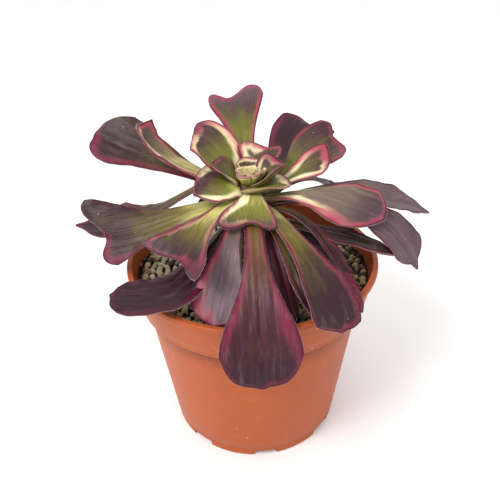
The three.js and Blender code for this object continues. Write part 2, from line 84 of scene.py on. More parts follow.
# %% Wiring
class Wiring:
    def __init__(self, tree):
        self.tree = tree

    def fill(self, node, sockets):
        """Gives each named or numbered socket its link or its value."""
        for key, value in sockets.items():
            if isinstance(value, bpy.types.NodeSocket):
                self.tree.links.new(value, node.inputs[key])
            else:
                node.inputs[key].default_value = value

    def node(self, kind, sockets=None, **settings):
        node = self.tree.nodes.new(kind)
        for name, value in settings.items():
            setattr(node, name, value)
        self.fill(node, sockets or {})
        return node

    def maths(self, operation, a, b=0.0, clamp=False):
        return self.node("ShaderNodeMath", {0: a, 1: b}, operation=operation, use_clamp=clamp).outputs[0]

    def add(self, a, b, clamp=False):
        return self.maths("ADD", a, b, clamp)

    def sub(self, a, b):
        return self.maths("SUBTRACT", a, b)

    def mul(self, a, b, clamp=False):
        return self.maths("MULTIPLY", a, b, clamp)

    def swing(self, noise, amount):
        """A noise from 0 to 1 made to swing evenly above and below zero."""
        return self.mul(self.sub(noise, 0.5), amount)

    def ease(self, value, low, high, to_low=0.0, to_high=1.0):
        """Goes smoothly from to_low to to_high while value goes from low to high."""
        return self.node("ShaderNodeMapRange", {0: value, 1: low, 2: high, 3: to_low, 4: to_high},
                         interpolation_type="SMOOTHSTEP").outputs[0]

    def blend(self, share, a, b, way="MIX"):
        return self.node("ShaderNodeMix", {0: share, 6: a, 7: b}, data_type="RGBA", blend_type=way).outputs[2]

    def noise(self, vector, scale, detail=2.0, rough=0.5):
        return self.node("ShaderNodeTexNoise", {"Vector": vector, "Scale": scale, "Detail": detail,
                                                "Roughness": rough}).outputs[0]

    def mapped(self, vector, scale, turn=(0.0, 0.0, 0.0)):
        return self.node("ShaderNodeMapping", {"Vector": vector, "Rotation": turn, "Scale": scale}).outputs[0]

    def place(self):
        """Object coordinates, in metres."""
        return self.node("ShaderNodeTexCoord").outputs["Object"]

    def number(self, name):
        """A number that the mesh keeps under this name."""
        return self.node("ShaderNodeAttribute", attribute_name=name).outputs["Fac"]

    def split(self, vector):
        return self.node("ShaderNodeSeparateXYZ", {0: vector}).outputs

    def vector(self, x=0.0, y=0.0, z=0.0):
        return self.node("ShaderNodeCombineXYZ", {0: x, 1: y, 2: z}).outputs[0]

    def scaled(self, vector, factor):
        return self.node("ShaderNodeVectorMath", {0: vector, 3: factor}, operation="SCALE").outputs[0]

    def from_axis(self, xyz):
        return self.maths("SQRT", self.add(self.maths("POWER", xyz[0], 2.0), self.maths("POWER", xyz[1], 2.0)))

    def random(self, low, high, seed):
        return self.node("FunctionNodeRandomValue", {2: low, 3: high, 8: seed}, data_type="FLOAT").outputs[1]

    def random_vector(self, low, high, seed):
        return self.node("FunctionNodeRandomValue", {0: low, 1: high, 8: seed},
                         data_type="FLOAT_VECTOR").outputs[0]

    def facing(self, way, axis):
        """The rotation that turns this axis to a direction."""
        return self.node("FunctionNodeAlignRotationToVector", {2: way}, axis=axis).outputs[0]

    def store(self, geometry, name, value, domain):
        return self.node("GeometryNodeStoreNamedAttribute", {0: geometry, 2: name, 3: value},
                         data_type="FLOAT", domain=domain).outputs[0]

    def joined(self, first, *others):
        """Geometry joined into one; a link made later goes before the earlier ones."""
        join = self.node("GeometryNodeJoinGeometry", {0: first})
        for other in others:
            self.tree.links.new(other, join.inputs[0])
        return join.outputs[0]


def paint(red, green, blue):
    """A colour from 0-255 screen values, as the linear numbers that a shader wants."""
    values = [c / 255 for c in (red, green, blue)]
    return (*[c / 12.92 if c <= 0.04045 else ((c + 0.055) / 1.055) ** 2.4 for c in values], 1.0)


print("terracotta as linear colour:", [round(v, 3) for v in paint(196, 104, 70)])

# %% [markdown]
# ## Making a mesh from points
#
# The pieces here are computed as rows of points, so one helper turns points and faces into an object.
# It stays at the origin with its place in its mesh, which is how the solids are kept too.

# %% Mesh helper
def make_object(name, points_mm, faces, materials=()):
    mesh = bpy.data.meshes.new(name)
    mesh.from_pydata((np.asarray(points_mm, float) * MM).tolist(), [], [tuple(map(int, f)) for f in faces])
    mesh.update()
    mesh.shade_smooth()
    for material in materials:
        mesh.materials.append(material)
    thing = bpy.data.objects.new(name, mesh)
    bpy.context.scene.collection.objects.link(thing)
    return thing


def count_triangles(thing):
    thing.data.calc_loop_triangles()
    return len(thing.data.loop_triangles)


print("helpers ready")

# %% [markdown]
# ## Geometry Nodes from a script
#
# What repeats is made by Geometry Nodes: cut-outs round the foot, grains, scars, teeth and roots. A
# tree is built once with named inputs. Each modifier input is set by its socket's identifier before
# the object is evaluated, and the result is then kept as a plain mesh, so nothing is left to compute.

# %% Geometry Nodes helpers
def new_tree(name, tree_kind, inputs, outputs):
    """A tree with named sockets; inputs are given as label: (socket type, value), outputs as label: type."""
    tree = bpy.data.node_groups.new(name, tree_kind)
    for label, kind in outputs.items():
        tree.interface.new_socket(label, in_out="OUTPUT", socket_type="NodeSocket" + kind)
    for label, (kind, value) in inputs.items():
        socket = tree.interface.new_socket(label, in_out="INPUT", socket_type="NodeSocket" + kind)
        if value is not None:
            socket.default_value = value
    return tree, Wiring(tree), tree.nodes.new("NodeGroupInput").outputs


def geometry_tree(name, inputs):
    """A tree with a geometry input and output and these named inputs."""
    inputs = {"Geometry": ("Geometry", None), **inputs}
    return new_tree(name, "GeometryNodeTree", inputs, {"Geometry": "Geometry"})


def end_tree(w, geometry, material):
    """The end that every tree here has: real geometry instead of instances, then its material."""
    real = w.node("GeometryNodeRealizeInstances", {0: geometry}).outputs[0]
    named = w.node("GeometryNodeSetMaterial", {0: real, 2: material}).outputs[0]
    w.node("NodeGroupOutput", {0: named})


def drop_empty_slots(mesh):
    """Joining geometry can leave slots with no material; the faces are renumbered without them."""
    slots = list(mesh.materials)
    used = [m for m in slots if m]
    index = np.zeros(len(mesh.polygons), np.int32)
    mesh.polygons.foreach_get("material_index", index)
    new_index = np.array([used.index(m) if m else 0 for m in slots] or [0], np.int32)[index]
    mesh.materials.clear()
    for m in used:
        mesh.materials.append(m)
    mesh.polygons.foreach_set("material_index", new_index)


def run_tree(thing, tree, values):
    """Runs the tree on the object with these values and keeps the result as its plain mesh."""
    modifier = thing.modifiers.new(tree.name, "NODES")
    modifier.node_group = tree
    for item in tree.interface.items_tree:
        if item.in_out == "INPUT" and item.name in values:
            modifier[item.identifier] = values[item.name]
    thing.update_tag()
    seen = thing.evaluated_get(bpy.context.evaluated_depsgraph_get())
    mesh = bpy.data.meshes.new_from_object(seen)
    thing.modifiers.remove(modifier)
    drop_empty_slots(mesh)
    thing.data = mesh
    mesh.name = thing.name
    return thing


print("geometry helpers ready")

# %% [markdown]
# ## Effects that several finishes share
#
# Three small shader groups do what more than one material needs: a soft mottle for uneven colour,
# fibres that run one way, and pale specks of dust and mineral, which the grit also uses as painted
# glints. Each is built once with named sockets and is placed in a material with that material's own
# values.

# %% Shader group helpers
def shader_group(name, inputs, outputs):
    return new_tree(name, "ShaderNodeTree", inputs, {label: "Float" for label in outputs})


def place_group(w, tree, sockets):
    return w.node("ShaderNodeGroup", sockets, node_tree=tree).outputs


print("shader helpers ready")

# %% Soft mottle
mottle_group, w, put = shader_group(
    "soft mottle", {"Vector": ("Vector", None), "Scale": ("Float", 60.0), "Contrast": ("Float", 1.6)}, ["Mask"])
broad = w.noise(put["Vector"], put["Scale"], 3.0, 0.55)
fine = w.noise(put["Vector"], w.mul(put["Scale"], 6.0), 2.0, 0.6)
both = w.add(w.mul(broad, 0.72), w.mul(fine, 0.28))
centred = w.swing(both, put["Contrast"])
w.node("NodeGroupOutput", {0: w.add(centred, 0.5, clamp=True)})


def mottle(w, vector, scale, contrast):
    return place_group(w, mottle_group, {"Vector": vector, "Scale": scale, "Contrast": contrast})[0]


print("group:", mottle_group.name)

# %% Fibres
fibre_group, w, put = shader_group(
    "running fibres",
    {"Vector": ("Vector", None), "Fibres per unit": ("Float", 1.0), "Length of fibre": ("Float", 14.0),
     "Contrast": ("Float", 1.8)}, ["Mask"])
across = w.split(put["Vector"])
drift = w.mul(w.noise(put["Vector"], 0.05, 1.0), 3.0)
side = w.mul(w.add(across[0], drift), put["Fibres per unit"])
along = w.maths("DIVIDE", across[1], put["Length of fibre"])
lines = w.vector(side, along, across[2])
strands = w.noise(lines, 1.0, 4.0, 0.62)
centred = w.swing(strands, put["Contrast"])
w.node("NodeGroupOutput", {0: w.add(centred, 0.5, clamp=True)})


def fibres(w, vector, per_unit, length, contrast):
    return place_group(w, fibre_group, {"Vector": vector, "Fibres per unit": per_unit,
                                        "Length of fibre": length, "Contrast": contrast})[0]


print("group:", fibre_group.name)

# %% Specks
speck_group, w, put = shader_group(
    "pale specks",
    {"Vector": ("Vector", None), "Specks per unit": ("Float", 1.0), "Size": ("Float", 0.1),
     "Share": ("Float", 0.3)}, ["Mask"])
cells = w.node("ShaderNodeTexVoronoi", {"Vector": put["Vector"], "Scale": put["Specks per unit"]}).outputs
pick = w.node("ShaderNodeSeparateColor", {0: cells["Color"]}).outputs
chosen = w.maths("LESS_THAN", pick[0], put["Share"])
size = w.mul(put["Size"], w.add(pick[1], 0.5))
dot = w.ease(w.maths("DIVIDE", cells["Distance"], size), 1.0, 0.55)
w.node("NodeGroupOutput", {0: w.mul(dot, chosen)})


def specks_of(w, vector, per_unit, size, share):
    return place_group(w, speck_group, {"Vector": vector, "Specks per unit": per_unit, "Size": size,
                                        "Share": share})[0]


print("group:", speck_group.name)

# %% [markdown]
# ## Moulded plastic
#
# The pot is injection-moulded in a terracotta colour. Such plastic is never one flat colour: it is a
# little cloudy, has faint upright flow marks, and wears pale scratches and specks of dust. The inside wall
# is painted darker, as painted shade inside the pot. Object coordinates are in metres here, so scales
# look large.

# %% Pot plastic
def finished_material(name):
    material = bpy.data.materials.new(name)
    material.use_nodes = True
    material.node_tree.nodes.clear()
    w = Wiring(material.node_tree)
    shader = w.node("ShaderNodeBsdfPrincipled")
    w.node("ShaderNodeOutputMaterial", {0: shader.outputs[0]})
    return material, w, shader


def feed(w, shader, **sockets):
    """Sets the shader's own sockets, whose names are written here with _ for a space."""
    w.fill(shader, {name.replace("_", " "): value for name, value in sockets.items()})


def bumped(w, height, distance_mm, strength=1.0):
    return w.node("ShaderNodeBump", {"Strength": strength, "Distance": distance_mm * MM,
                                     "Height": height}).outputs[0]


# The collar's inner radius in metres is this slope times the height, plus its value at height nought.
WALL_SLOPE, WALL_AT_ZERO = 0.1846, 0.0395
pot_plastic, w, shader = finished_material("pot_plastic_terracotta")
place = w.place()
xyz = w.split(place)
cloud = mottle(w, place, 38.0, 1.5)
flow = w.noise(w.mapped(place, (260.0, 260.0, 9.0)), 1.0, 3.0, 0.55)
dust = specks_of(w, place, 420.0, 0.16, 0.035)
grit_specks = specks_of(w, place, 190.0, 0.05, 0.06)
scratch_way = w.mapped(place, (90.0, 1700.0, 90.0), turn=(0.3, 0.9, 0.4))
scratches = w.ease(w.noise(scratch_way, 1.0, 1.0, 0.3), 0.7, 0.76)
tone = w.blend(cloud, paint(161, 74, 34), paint(175, 88, 44))
tone = w.blend(w.mul(flow, 0.3), tone, paint(158, 71, 33))
tone = w.blend(w.mul(scratches, 0.12), tone, paint(222, 160, 132))
pale = w.add(w.mul(dust, 0.5), w.mul(grit_specks, 0.65), clamp=True)
tone = w.blend(pale, tone, paint(232, 205, 186))
# Painted shade: the inside wall below the rim is darkened to a deep red-brown, standing in for the shade inside
# the pot.
wall_inside = w.add(w.mul(xyz[2], WALL_SLOPE), WALL_AT_ZERO)
inside = w.mul(w.ease(w.sub(wall_inside, w.from_axis(xyz)), -0.0006, 0.0006),
                 w.ease(xyz[2], 0.0935, 0.0905))
tone = w.blend(w.mul(inside, 0.9), tone, paint(74, 22, 16))
matt = w.add(w.mul(cloud, 0.12), 0.4)
height = w.add(w.mul(flow, 0.6), w.mul(w.noise(place, 900.0, 2.0), 0.4))
feed(w, shader, Base_Color=tone, Roughness=matt, Normal=bumped(w, height, 0.12, 0.35), Specular_IOR_Level=0.25)
print("material:", pot_plastic.name)

# %% [markdown]
# ## The pot
#
# The wall is one profile turned round the upright axis, as the mould is. The profile's corners are
# rounded here, and three fine grooves are added that the mould's parting lines leave: one in the lip,
# one under the collar and one above the foot. The drainage notches and holes repeat round the foot,
# so a Geometry Nodes tree sets cutters on a ring and takes them out of the turned wall.

# %% Pot sizes, in millimetres
RIM_R, POT_H, LIP_H = 60.0, 94.0, 2.6
COLLAR_TOP_R, COLLAR_LOW_R, STEP_Z = 58.7, 55.6, 74.6
BODY_R, FOOT_R, WALL = 53.0, 44.0, 1.5
FLOOR_Z, FLOOR_T = 3.6, 1.9
NOTCHES, NOTCH_W, NOTCH_H, NOTCH_AZ = 8, 12.0, 3.4, -84.5
DRAIN_R, DRAIN_AT = 3.2, 35.0
GAP, SOIL_TOP, GRAVEL_TOP = 0.3, 83.6, 86.6
print("pot:", 2 * RIM_R, "mm across,", POT_H, "mm high")

# %% Pot profile
# The parting lines are fine V grooves: the height of each in mm, and how deep it is.
FOOT_GROOVE, FOOT_GROOVE_DEPTH = 4.6, 0.13
COLLAR_GROOVE, COLLAR_GROOVE_DEPTH = 76.8, 0.1
LIP_GROOVE_DEPTH = 0.16


def rounded_profile(corners, steps=4):
    """Corners given as (r, z, rounding radius); the rounding is an arc of a few short chords."""
    points = []
    for i, (r, z, bend) in enumerate(corners):
        here = np.array((r, z), float)
        if bend <= 0 or i in (0, len(corners) - 1):
            points.append(here)
            continue
        before = np.array(corners[i - 1][:2], float) - here
        after = np.array(corners[i + 1][:2], float) - here
        reach_a, reach_b = (min(bend, 0.45 * np.linalg.norm(v)) for v in (before, after))
        a = here + before / np.linalg.norm(before) * reach_a
        b = here + after / np.linalg.norm(after) * reach_b
        for t in np.linspace(0, 1, steps + 1):
            points.append((1 - t) ** 2 * a + 2 * t * (1 - t) * here + t * t * b)
    return np.array(points)


lean = (BODY_R - FOOT_R) / STEP_Z
collar_lean = (COLLAR_TOP_R - COLLAR_LOW_R) / (POT_H - LIP_H - STEP_Z)


def wall_inside_at(z):
    if z < STEP_Z - WALL:
        return FOOT_R + lean * z - WALL
    return COLLAR_LOW_R - WALL + collar_lean * (z - STEP_Z)


pot_corners = [(0, FLOOR_Z, 0), (FOOT_R - 2.4, FLOOR_Z, 0.4), (FOOT_R - 2, 0, 0.3), (FOOT_R, 0, 0.5)]
for z in (4.4, FOOT_GROOVE, 4.8):
    pot_corners.append((FOOT_R + lean * z - (FOOT_GROOVE_DEPTH if z == FOOT_GROOVE else 0), z, 0))
for z in np.linspace(12, 68, 8):
    pot_corners.append((FOOT_R + lean * z, z, 0))
pot_corners += [(BODY_R, STEP_Z, 0.5), (COLLAR_LOW_R - 0.3, STEP_Z, 0.3), (COLLAR_LOW_R, STEP_Z + 0.5, 0.3)]
for z in (76.6, COLLAR_GROOVE, 77.0, 80, 84, 88):
    groove = COLLAR_GROOVE_DEPTH if z == COLLAR_GROOVE else 0
    pot_corners.append((COLLAR_LOW_R + collar_lean * (z - STEP_Z) - groove, z, 0))
top = POT_H - LIP_H
pot_corners += [(COLLAR_TOP_R, top - 0.2, 0.3), (RIM_R - 0.2, top, 0.2), (RIM_R, top + 0.3, 0.25),
                (RIM_R, top + 1.05, 0), (RIM_R - LIP_GROOVE_DEPTH, top + 1.2, 0), (RIM_R, top + 1.35, 0),
                (RIM_R, POT_H - 0.4, 0.3), (RIM_R - 0.4, POT_H, 0.3), (RIM_R - 2.2, POT_H, 0.5),
                (RIM_R - 2.5, POT_H - 0.3, 0.5), (COLLAR_TOP_R - WALL, top - 0.8, 1.0)]
pot_corners += [(COLLAR_LOW_R - WALL + collar_lean * 1.2, STEP_Z + 1.2, 0.8),
                (wall_inside_at(STEP_Z - WALL - 0.01), STEP_Z - WALL, 0.8),
                (wall_inside_at(FLOOR_Z + FLOOR_T), FLOOR_Z + FLOOR_T, 1.5), (0, FLOOR_Z + FLOOR_T, 0)]
pot_profile = rounded_profile(pot_corners)
print("profile points:", len(pot_profile))

# %% Turned wall
def turned(name, profile, segments, materials=(), dent=None):
    """A closed solid from a profile in r and z that starts and ends on the axis."""
    inner = profile[1:-1]
    n = len(inner)
    angles = np.arange(segments) / segments * 2 * math.pi
    rings = []
    for a in angles:
        r = inner[:, 0] if dent is None else inner[:, 0] + dent(a, inner[:, 1])
        rings.append(np.stack([r * math.cos(a), r * math.sin(a), inner[:, 1]], -1))
    points = np.concatenate(rings + [[[0, 0, profile[0, 1]], [0, 0, profile[-1, 1]]]])
    first, last = segments * n, segments * n + 1
    faces = []
    for s in range(segments):
        t = (s + 1) % segments
        faces.append((first, t * n, s * n))
        faces.append((last, s * n + n - 1, t * n + n - 1))
        for i in range(n - 1):
            faces.append((s * n + i, t * n + i, t * n + i + 1, s * n + i + 1))
    return make_object(name, points, faces, materials)


nursery_pot = turned("nursery_pot", pot_profile, 192)
print("turned wall:", count_triangles(nursery_pot), "triangles")

# %% Foot cut-outs tree
cutout_tree, w, put = geometry_tree("foot cut-outs", {
    "Count": ("Int", 8), "Notch size": ("Vector", (0.01, 0.012, 0.0068)), "Foot radius": ("Float", 0.0435),
    "First angle": ("Float", 0.0), "Drain radius": ("Float", 0.0032), "Drain circle": ("Float", 0.035),
    "Floor height": ("Float", 0.0036), "Material": ("Material", None)})


def ring_of(cutter, radius):
    ring = w.node("GeometryNodeMeshCircle", {0: put["Count"], 1: radius}).outputs[0]
    outward = w.node("GeometryNodeInputPosition").outputs[0]
    facing = w.facing(outward, "X")
    return w.node("GeometryNodeInstanceOnPoints", {0: ring, 2: cutter, 5: facing}).outputs[0]


notch = w.node("GeometryNodeMeshCube", {0: put["Notch size"]}).outputs[0]
hole = w.node("GeometryNodeMeshCylinder", {0: 40, 3: put["Drain radius"], 4: 0.012}).outputs[0]
at_floor = w.vector(z=put["Floor height"])
holes = w.joined(ring_of(hole, put["Drain circle"]), hole)
holes = w.node("GeometryNodeTransform", {0: holes, 1: at_floor}).outputs[0]
cutters = w.joined(ring_of(notch, put["Foot radius"]), holes)
start = w.node("FunctionNodeEulerToRotation", {0: w.vector(z=put["First angle"])}).outputs[0]
cutters = w.node("GeometryNodeTransform", {0: cutters, 2: start}).outputs[0]
cutters = w.node("GeometryNodeRealizeInstances", {0: cutters}).outputs[0]
cut = w.node("GeometryNodeMeshBoolean", {0: put["Geometry"], 1: cutters}, operation="DIFFERENCE",
             solver="EXACT")
end_tree(w, cut.outputs[0], put["Material"])
print("tree:", cutout_tree.name)

# %% Cut the notches and holes
run_tree(nursery_pot, cutout_tree, {
    "Count": NOTCHES, "Notch size": (10 * MM, NOTCH_W * MM, 2 * NOTCH_H * MM),
    "Foot radius": (FOOT_R - 0.5) * MM,
    "First angle": math.radians(NOTCH_AZ), "Drain radius": DRAIN_R * MM, "Drain circle": DRAIN_AT * MM,
    "Floor height": FLOOR_Z * MM, "Material": pot_plastic})
nursery_pot.data.shade_smooth()
nursery_pot.data.set_sharp_from_angle(angle=math.radians(38))
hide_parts("pot")
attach(nursery_pot, "root")
print("pot:", count_triangles(nursery_pot), "triangles")

# %% [markdown]
# ## Soil and grit
#
# Under the grit lies dark peat, which only shows between the grains and round the stem, so the packed
# solid stays and gets a crumbly material. The grit itself is loose mineral grains of two to four
# millimetres: pale pumice on one side, brown and grey lava on the other, and the pale side's colours
# are also lightened as painted light from the lamp on the left. A tree scatters two sizes of grain on a
# bumpy bed. Poisson-disk points keep a least distance, as touching grains do, and a number kept on each
# grain picks its colour.

# %% Peat
potting_mix, w, shader = finished_material("potting_mix_peat")
place = w.place()
crumbs = mottle(w, place, 420.0, 2.4)
husks = specks_of(w, place, 500.0, 0.3, 0.12)
tone = w.blend(crumbs, paint(7, 5, 5), paint(30, 22, 18))
tone = w.blend(w.mul(husks, 0.55), tone, paint(96, 72, 50))
feed(w, shader, Base_Color=tone, Roughness=w.add(w.mul(crumbs, 0.15), 0.8),
     Normal=bumped(w, crumbs, 0.9, 0.9))
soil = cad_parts["soil"]
soil.data.materials.clear()
soil.data.materials.append(potting_mix)

# %% Grit
grit_stone, w, shader = finished_material("grit_stone")
place = w.place()
xyz = w.split(place)
grain = w.number("grain")
pores = mottle(w, place, 700.0, 2.2)
# Pale specks laid into the colour as painted glints: painted highlights on the grains.
glints = specks_of(w, place, 1300.0, 0.3, 0.08)


def stone_ramp(stops):
    ramp = w.node("ShaderNodeValToRGB", {0: grain})
    ramp.color_ramp.interpolation = "CONSTANT"
    elements = ramp.color_ramp.elements
    while len(elements) < len(stops):
        elements.new(0.5)
    for element, (at, colour) in zip(elements, stops):
        element.position = at
        element.color = paint(*colour)
    return ramp.outputs[0]


# The pale side's colours are the pale grains' own, raised further as painted light where the lamp on the left
# falls.
pale_and_lit_side = stone_ramp([(0.0, (252, 240, 208)), (0.22, (244, 228, 190)), (0.42, (232, 214, 176)),
                        (0.6, (212, 192, 156)), (0.74, (254, 246, 222)), (0.88, (182, 164, 136)),
                        (0.96, (110, 94, 78))])
dark_side = stone_ramp([(0.0, (182, 156, 120)), (0.16, (146, 122, 96)), (0.34, (116, 100, 86)),
                        (0.5, (88, 74, 66)), (0.62, (206, 186, 148)), (0.78, (58, 48, 42)),
                        (0.88, (156, 118, 84))])
# Left of the pot's middle the pale, painted-lit colours are used, and to the right the brown and grey ones.
sides = w.ease(w.add(xyz[0], w.swing(grain, 0.02)), -0.034, -0.006)
tone = w.blend(sides, pale_and_lit_side, dark_side)
tone = w.blend(w.mul(w.sub(1.0, pores), 0.18), tone, paint(140, 120, 100), "MULTIPLY")
tone = w.blend(w.mul(glints, 0.5), tone, paint(240, 230, 205))
feed(w, shader, Base_Color=tone, Roughness=0.86, Normal=bumped(w, pores, 0.35, 0.8))
print("material:", grit_stone.name)

# %% Bumpy bed
rng = np.random.default_rng(12)
BED_SINK = 1.9     # the bed lies this far under the mean level of the grains, in mm
BED_START = 6.5    # the bed starts at this radius, inside the stem
BED_JITTER = 0.25


def bed_height(x, y):
    """Slow and quick swells of the grit's surface, in mm."""
    slow = 0.55 * np.sin(0.11 * x + 1.3) * np.cos(0.13 * y - 0.4) + 0.35 * np.sin(0.21 * (x + y) + 0.7)
    return GRAVEL_TOP - BED_SINK + slow


bed_rings = np.linspace(BED_START, wall_inside_at(GRAVEL_TOP) - GAP - 0.1, 30)
bed_steps = 120
points, faces = [], []
for k, r in enumerate(bed_rings):
    for s in range(bed_steps):
        a = (s + 0.5 * (k % 2)) / bed_steps * 2 * math.pi
        x, y = r * math.cos(a), r * math.sin(a)
        points.append((x, y, float(bed_height(x, y)) + rng.uniform(-BED_JITTER, BED_JITTER)))
for k in range(len(bed_rings) - 1):
    for s in range(bed_steps):
        t = (s + 1) % bed_steps
        faces.append((k * bed_steps + s, (k + 1) * bed_steps + s, (k + 1) * bed_steps + t, k * bed_steps + t))
below = len(points)
points += [(p[0], p[1], SOIL_TOP + 0.05) for p in points[:]]
faces += [tuple(below + i for i in reversed(f)) for f in faces[:]]
for k, flip in ((0, True), (len(bed_rings) - 1, False)):
    for s in range(bed_steps):
        a, b = k * bed_steps + s, k * bed_steps + (s + 1) % bed_steps
        faces.append((a, b, below + b, below + a) if flip else (a, below + a, below + b, b))
grit_layer = make_object("grit_layer", points, faces)
print("bed:", count_triangles(grit_layer), "triangles")

# %% Scattered grains tree
STONE_ROUGHNESS = 1.15   # how far the noise moves a unit ball's skin
GRAIN_REACH = 0.6        # share of a grain's size that it reaches past its point
MOST_PER_SQUARE_METRE = 9e6
BED_MARK = -1.0          # the number on the bed, below every grain's

grit_tree, w, put = geometry_tree("scattered grains", {
    "Large spacing": ("Float", 0.0026), "Small spacing": ("Float", 0.0016), "Large size": ("Float", 0.0016),
    "Small size": ("Float", 0.0007), "Room": ("Float", 0.05), "Seed": ("Int", 4),
    "Stone": ("Material", None), "Bed": ("Material", None)})


def rough_stone(shape_seed, subdivisions):
    """A unit ball pushed in and out by a slow noise, which gives it blunt corners."""
    ball = w.node("GeometryNodeMeshIcoSphere", {0: 1.0, 1: subdivisions}).outputs[0]
    at = w.node("GeometryNodeInputPosition").outputs[0]
    swell = w.node("ShaderNodeTexNoise", {"Vector": at, "W": float(shape_seed), "Scale": 1.15, "Detail": 1.0},
                   noise_dimensions="4D").outputs[0]
    push = w.scaled(at, w.swing(swell, STONE_ROUGHNESS))
    return w.node("GeometryNodeSetPosition", {0: ball, 3: push}).outputs[0]


def scatter(spacing, size, kinds, salt):
    seed = w.add(put["Seed"], float(salt))
    normal = w.node("GeometryNodeInputNormal").outputs[0]
    facing_up = w.maths("GREATER_THAN", w.split(normal)[2], 0.5)
    dots = w.node("GeometryNodeDistributePointsOnFaces",
                  {0: put["Geometry"], 1: facing_up, 2: spacing, 3: MOST_PER_SQUARE_METRE, 6: seed},
                  distribute_method="POISSON").outputs[0]
    where = w.split(w.node("GeometryNodeInputPosition").outputs[0])
    in_wall = w.maths("GREATER_THAN", w.add(w.from_axis(where), w.mul(size, GRAIN_REACH)), put["Room"])
    dots = w.node("GeometryNodeDeleteGeometry", {0: dots, 1: in_wall}).outputs[0]
    lift = w.vector(z=w.random(-0.0003, 0.0011, seed))
    dots = w.node("GeometryNodeSetPosition", {0: dots, 3: lift}).outputs[0]
    stones = w.joined(*[w.node("GeometryNodeGeometryToInstance", {0: kind}).outputs[0] for kind in kinds])
    tumble = w.random_vector((-0.9, -0.9, 0.0), (0.9, 0.9, 6.28), seed)
    spin = w.node("FunctionNodeEulerToRotation", {0: tumble}).outputs[0]
    shape = w.scaled(w.random_vector((0.72, 0.6, 0.55), (1.25, 1.0, 0.85), w.add(seed, 7.0)), size)
    which = w.node("FunctionNodeRandomValue", {4: 0, 5: len(kinds) - 1, 8: seed}, data_type="INT").outputs[2]
    laid = w.node("GeometryNodeInstanceOnPoints",
                  {0: dots, 2: stones, 3: True, 4: which, 5: spin, 6: shape}).outputs[0]
    return w.store(laid, "grain", w.random(0.0, 1.0, w.add(seed, 3.0)), "INSTANCE")


big_stones = [rough_stone(i * 3.7 + 1, 2) for i in range(5)]
chips = [rough_stone(i * 5.1 + 2, 1) for i in range(3)]
grains = w.joined(scatter(put["Large spacing"], put["Large size"], big_stones, 0),
                  scatter(put["Small spacing"], put["Small size"], chips, 20),
                  w.store(put["Geometry"], "grain", BED_MARK, "POINT"))
real = w.node("GeometryNodeRealizeInstances", {0: grains}).outputs[0]
real = w.node("GeometryNodeSetShadeSmooth", {0: real}).outputs[0]
real = w.node("GeometryNodeSetMaterial", {0: real, 2: put["Bed"]}).outputs[0]
kept_number = w.node("GeometryNodeInputNamedAttribute", {0: "grain"}, data_type="FLOAT").outputs[0]
is_stone = w.maths("GREATER_THAN", kept_number, BED_MARK / 2)
real = w.node("GeometryNodeSetMaterial", {0: real, 1: is_stone, 2: put["Stone"]}).outputs[0]
w.node("NodeGroupOutput", {0: real})
print("tree:", grit_tree.name)

# %% Scatter the grit
run_tree(grit_layer, grit_tree, {
    "Large spacing": 3.15 * MM, "Small spacing": 3.2 * MM, "Large size": 1.85 * MM, "Small size": 0.8 * MM,
    "Room": (wall_inside_at(GRAVEL_TOP) - 0.2) * MM, "Seed": 4, "Stone": grit_stone, "Bed": potting_mix})
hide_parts("gravel")
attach(grit_layer, "root")
print("grit:", count_triangles(grit_layer), "triangles, materials", [m.name for m in grit_layer.data.materials])

# %% [markdown]
# ## The stem
#
# The stem is short and woody. Each leaf that fell left a pale lens-shaped scar, and the scars climb it
# in the same golden-angle spiral as the leaves. The stem's profile is turned with a little unevenness,
# and a tree sets the scars along the spiral.

# %% Stem sizes
STEM = np.array([(42, 1.6), (46, 3.6), (60, 5.6), (80, 7), (92, 7.6), (112, 7.3), (120, 6.4), (126, 5.4),
                 (129.8, 4.6)])   # (height, radius)
GOLDEN_ANGLE = 137.5


def stem_radius(z):
    return float(np.interp(z, STEM[:, 0], STEM[:, 1]))


print("stem:", STEM[-1, 0] - GRAVEL_TOP, "mm above the grit")

# %% Bark
stem_bark, w, shader = finished_material("stem_bark")
place = w.place()
in_mm = w.scaled(place, 1000.0)
ribs = fibres(w, in_mm, 0.9, 5.0, 2.0)
patches = mottle(w, place, 160.0, 2.0)
scar = w.number("scar")
tone = w.blend(patches, paint(92, 70, 46), paint(138, 116, 80))
tone = w.blend(w.mul(ribs, 0.5), tone, paint(64, 46, 32))
tone = w.blend(w.mul(scar, 0.75), tone, paint(176, 152, 116))
feed(w, shader, Base_Color=tone, Roughness=w.add(w.mul(ribs, 0.2), 0.66),
     Normal=bumped(w, w.add(ribs, patches), 0.3, 0.8))
print("material:", stem_bark.name)

# %% Turned stem
STEM_FOOT, STEM_TIP = STEM[0, 0], STEM[-1, 0]
# Under the grit the stem is hidden, so its rings are few there and close together above.
stem_heights = np.concatenate([np.linspace(STEM_FOOT, 84, 15), np.linspace(85, STEM_TIP, 80)])
stem_profile = np.array([(0, STEM_FOOT)] + [(stem_radius(z), z) for z in stem_heights] + [(0, STEM_TIP)])


def stem_dent(angle, z):
    ripple = 0.22 * np.sin(5 * angle + 0.16 * z) + 0.12 * np.sin(9 * angle - 0.31 * z + 1)
    return (ripple - 0.34) * np.clip((z - 46) / 20, 0, 1)


stem_piece = turned("scarred_stem", stem_profile, 56, [stem_bark], stem_dent)
print("stem:", count_triangles(stem_piece), "triangles")

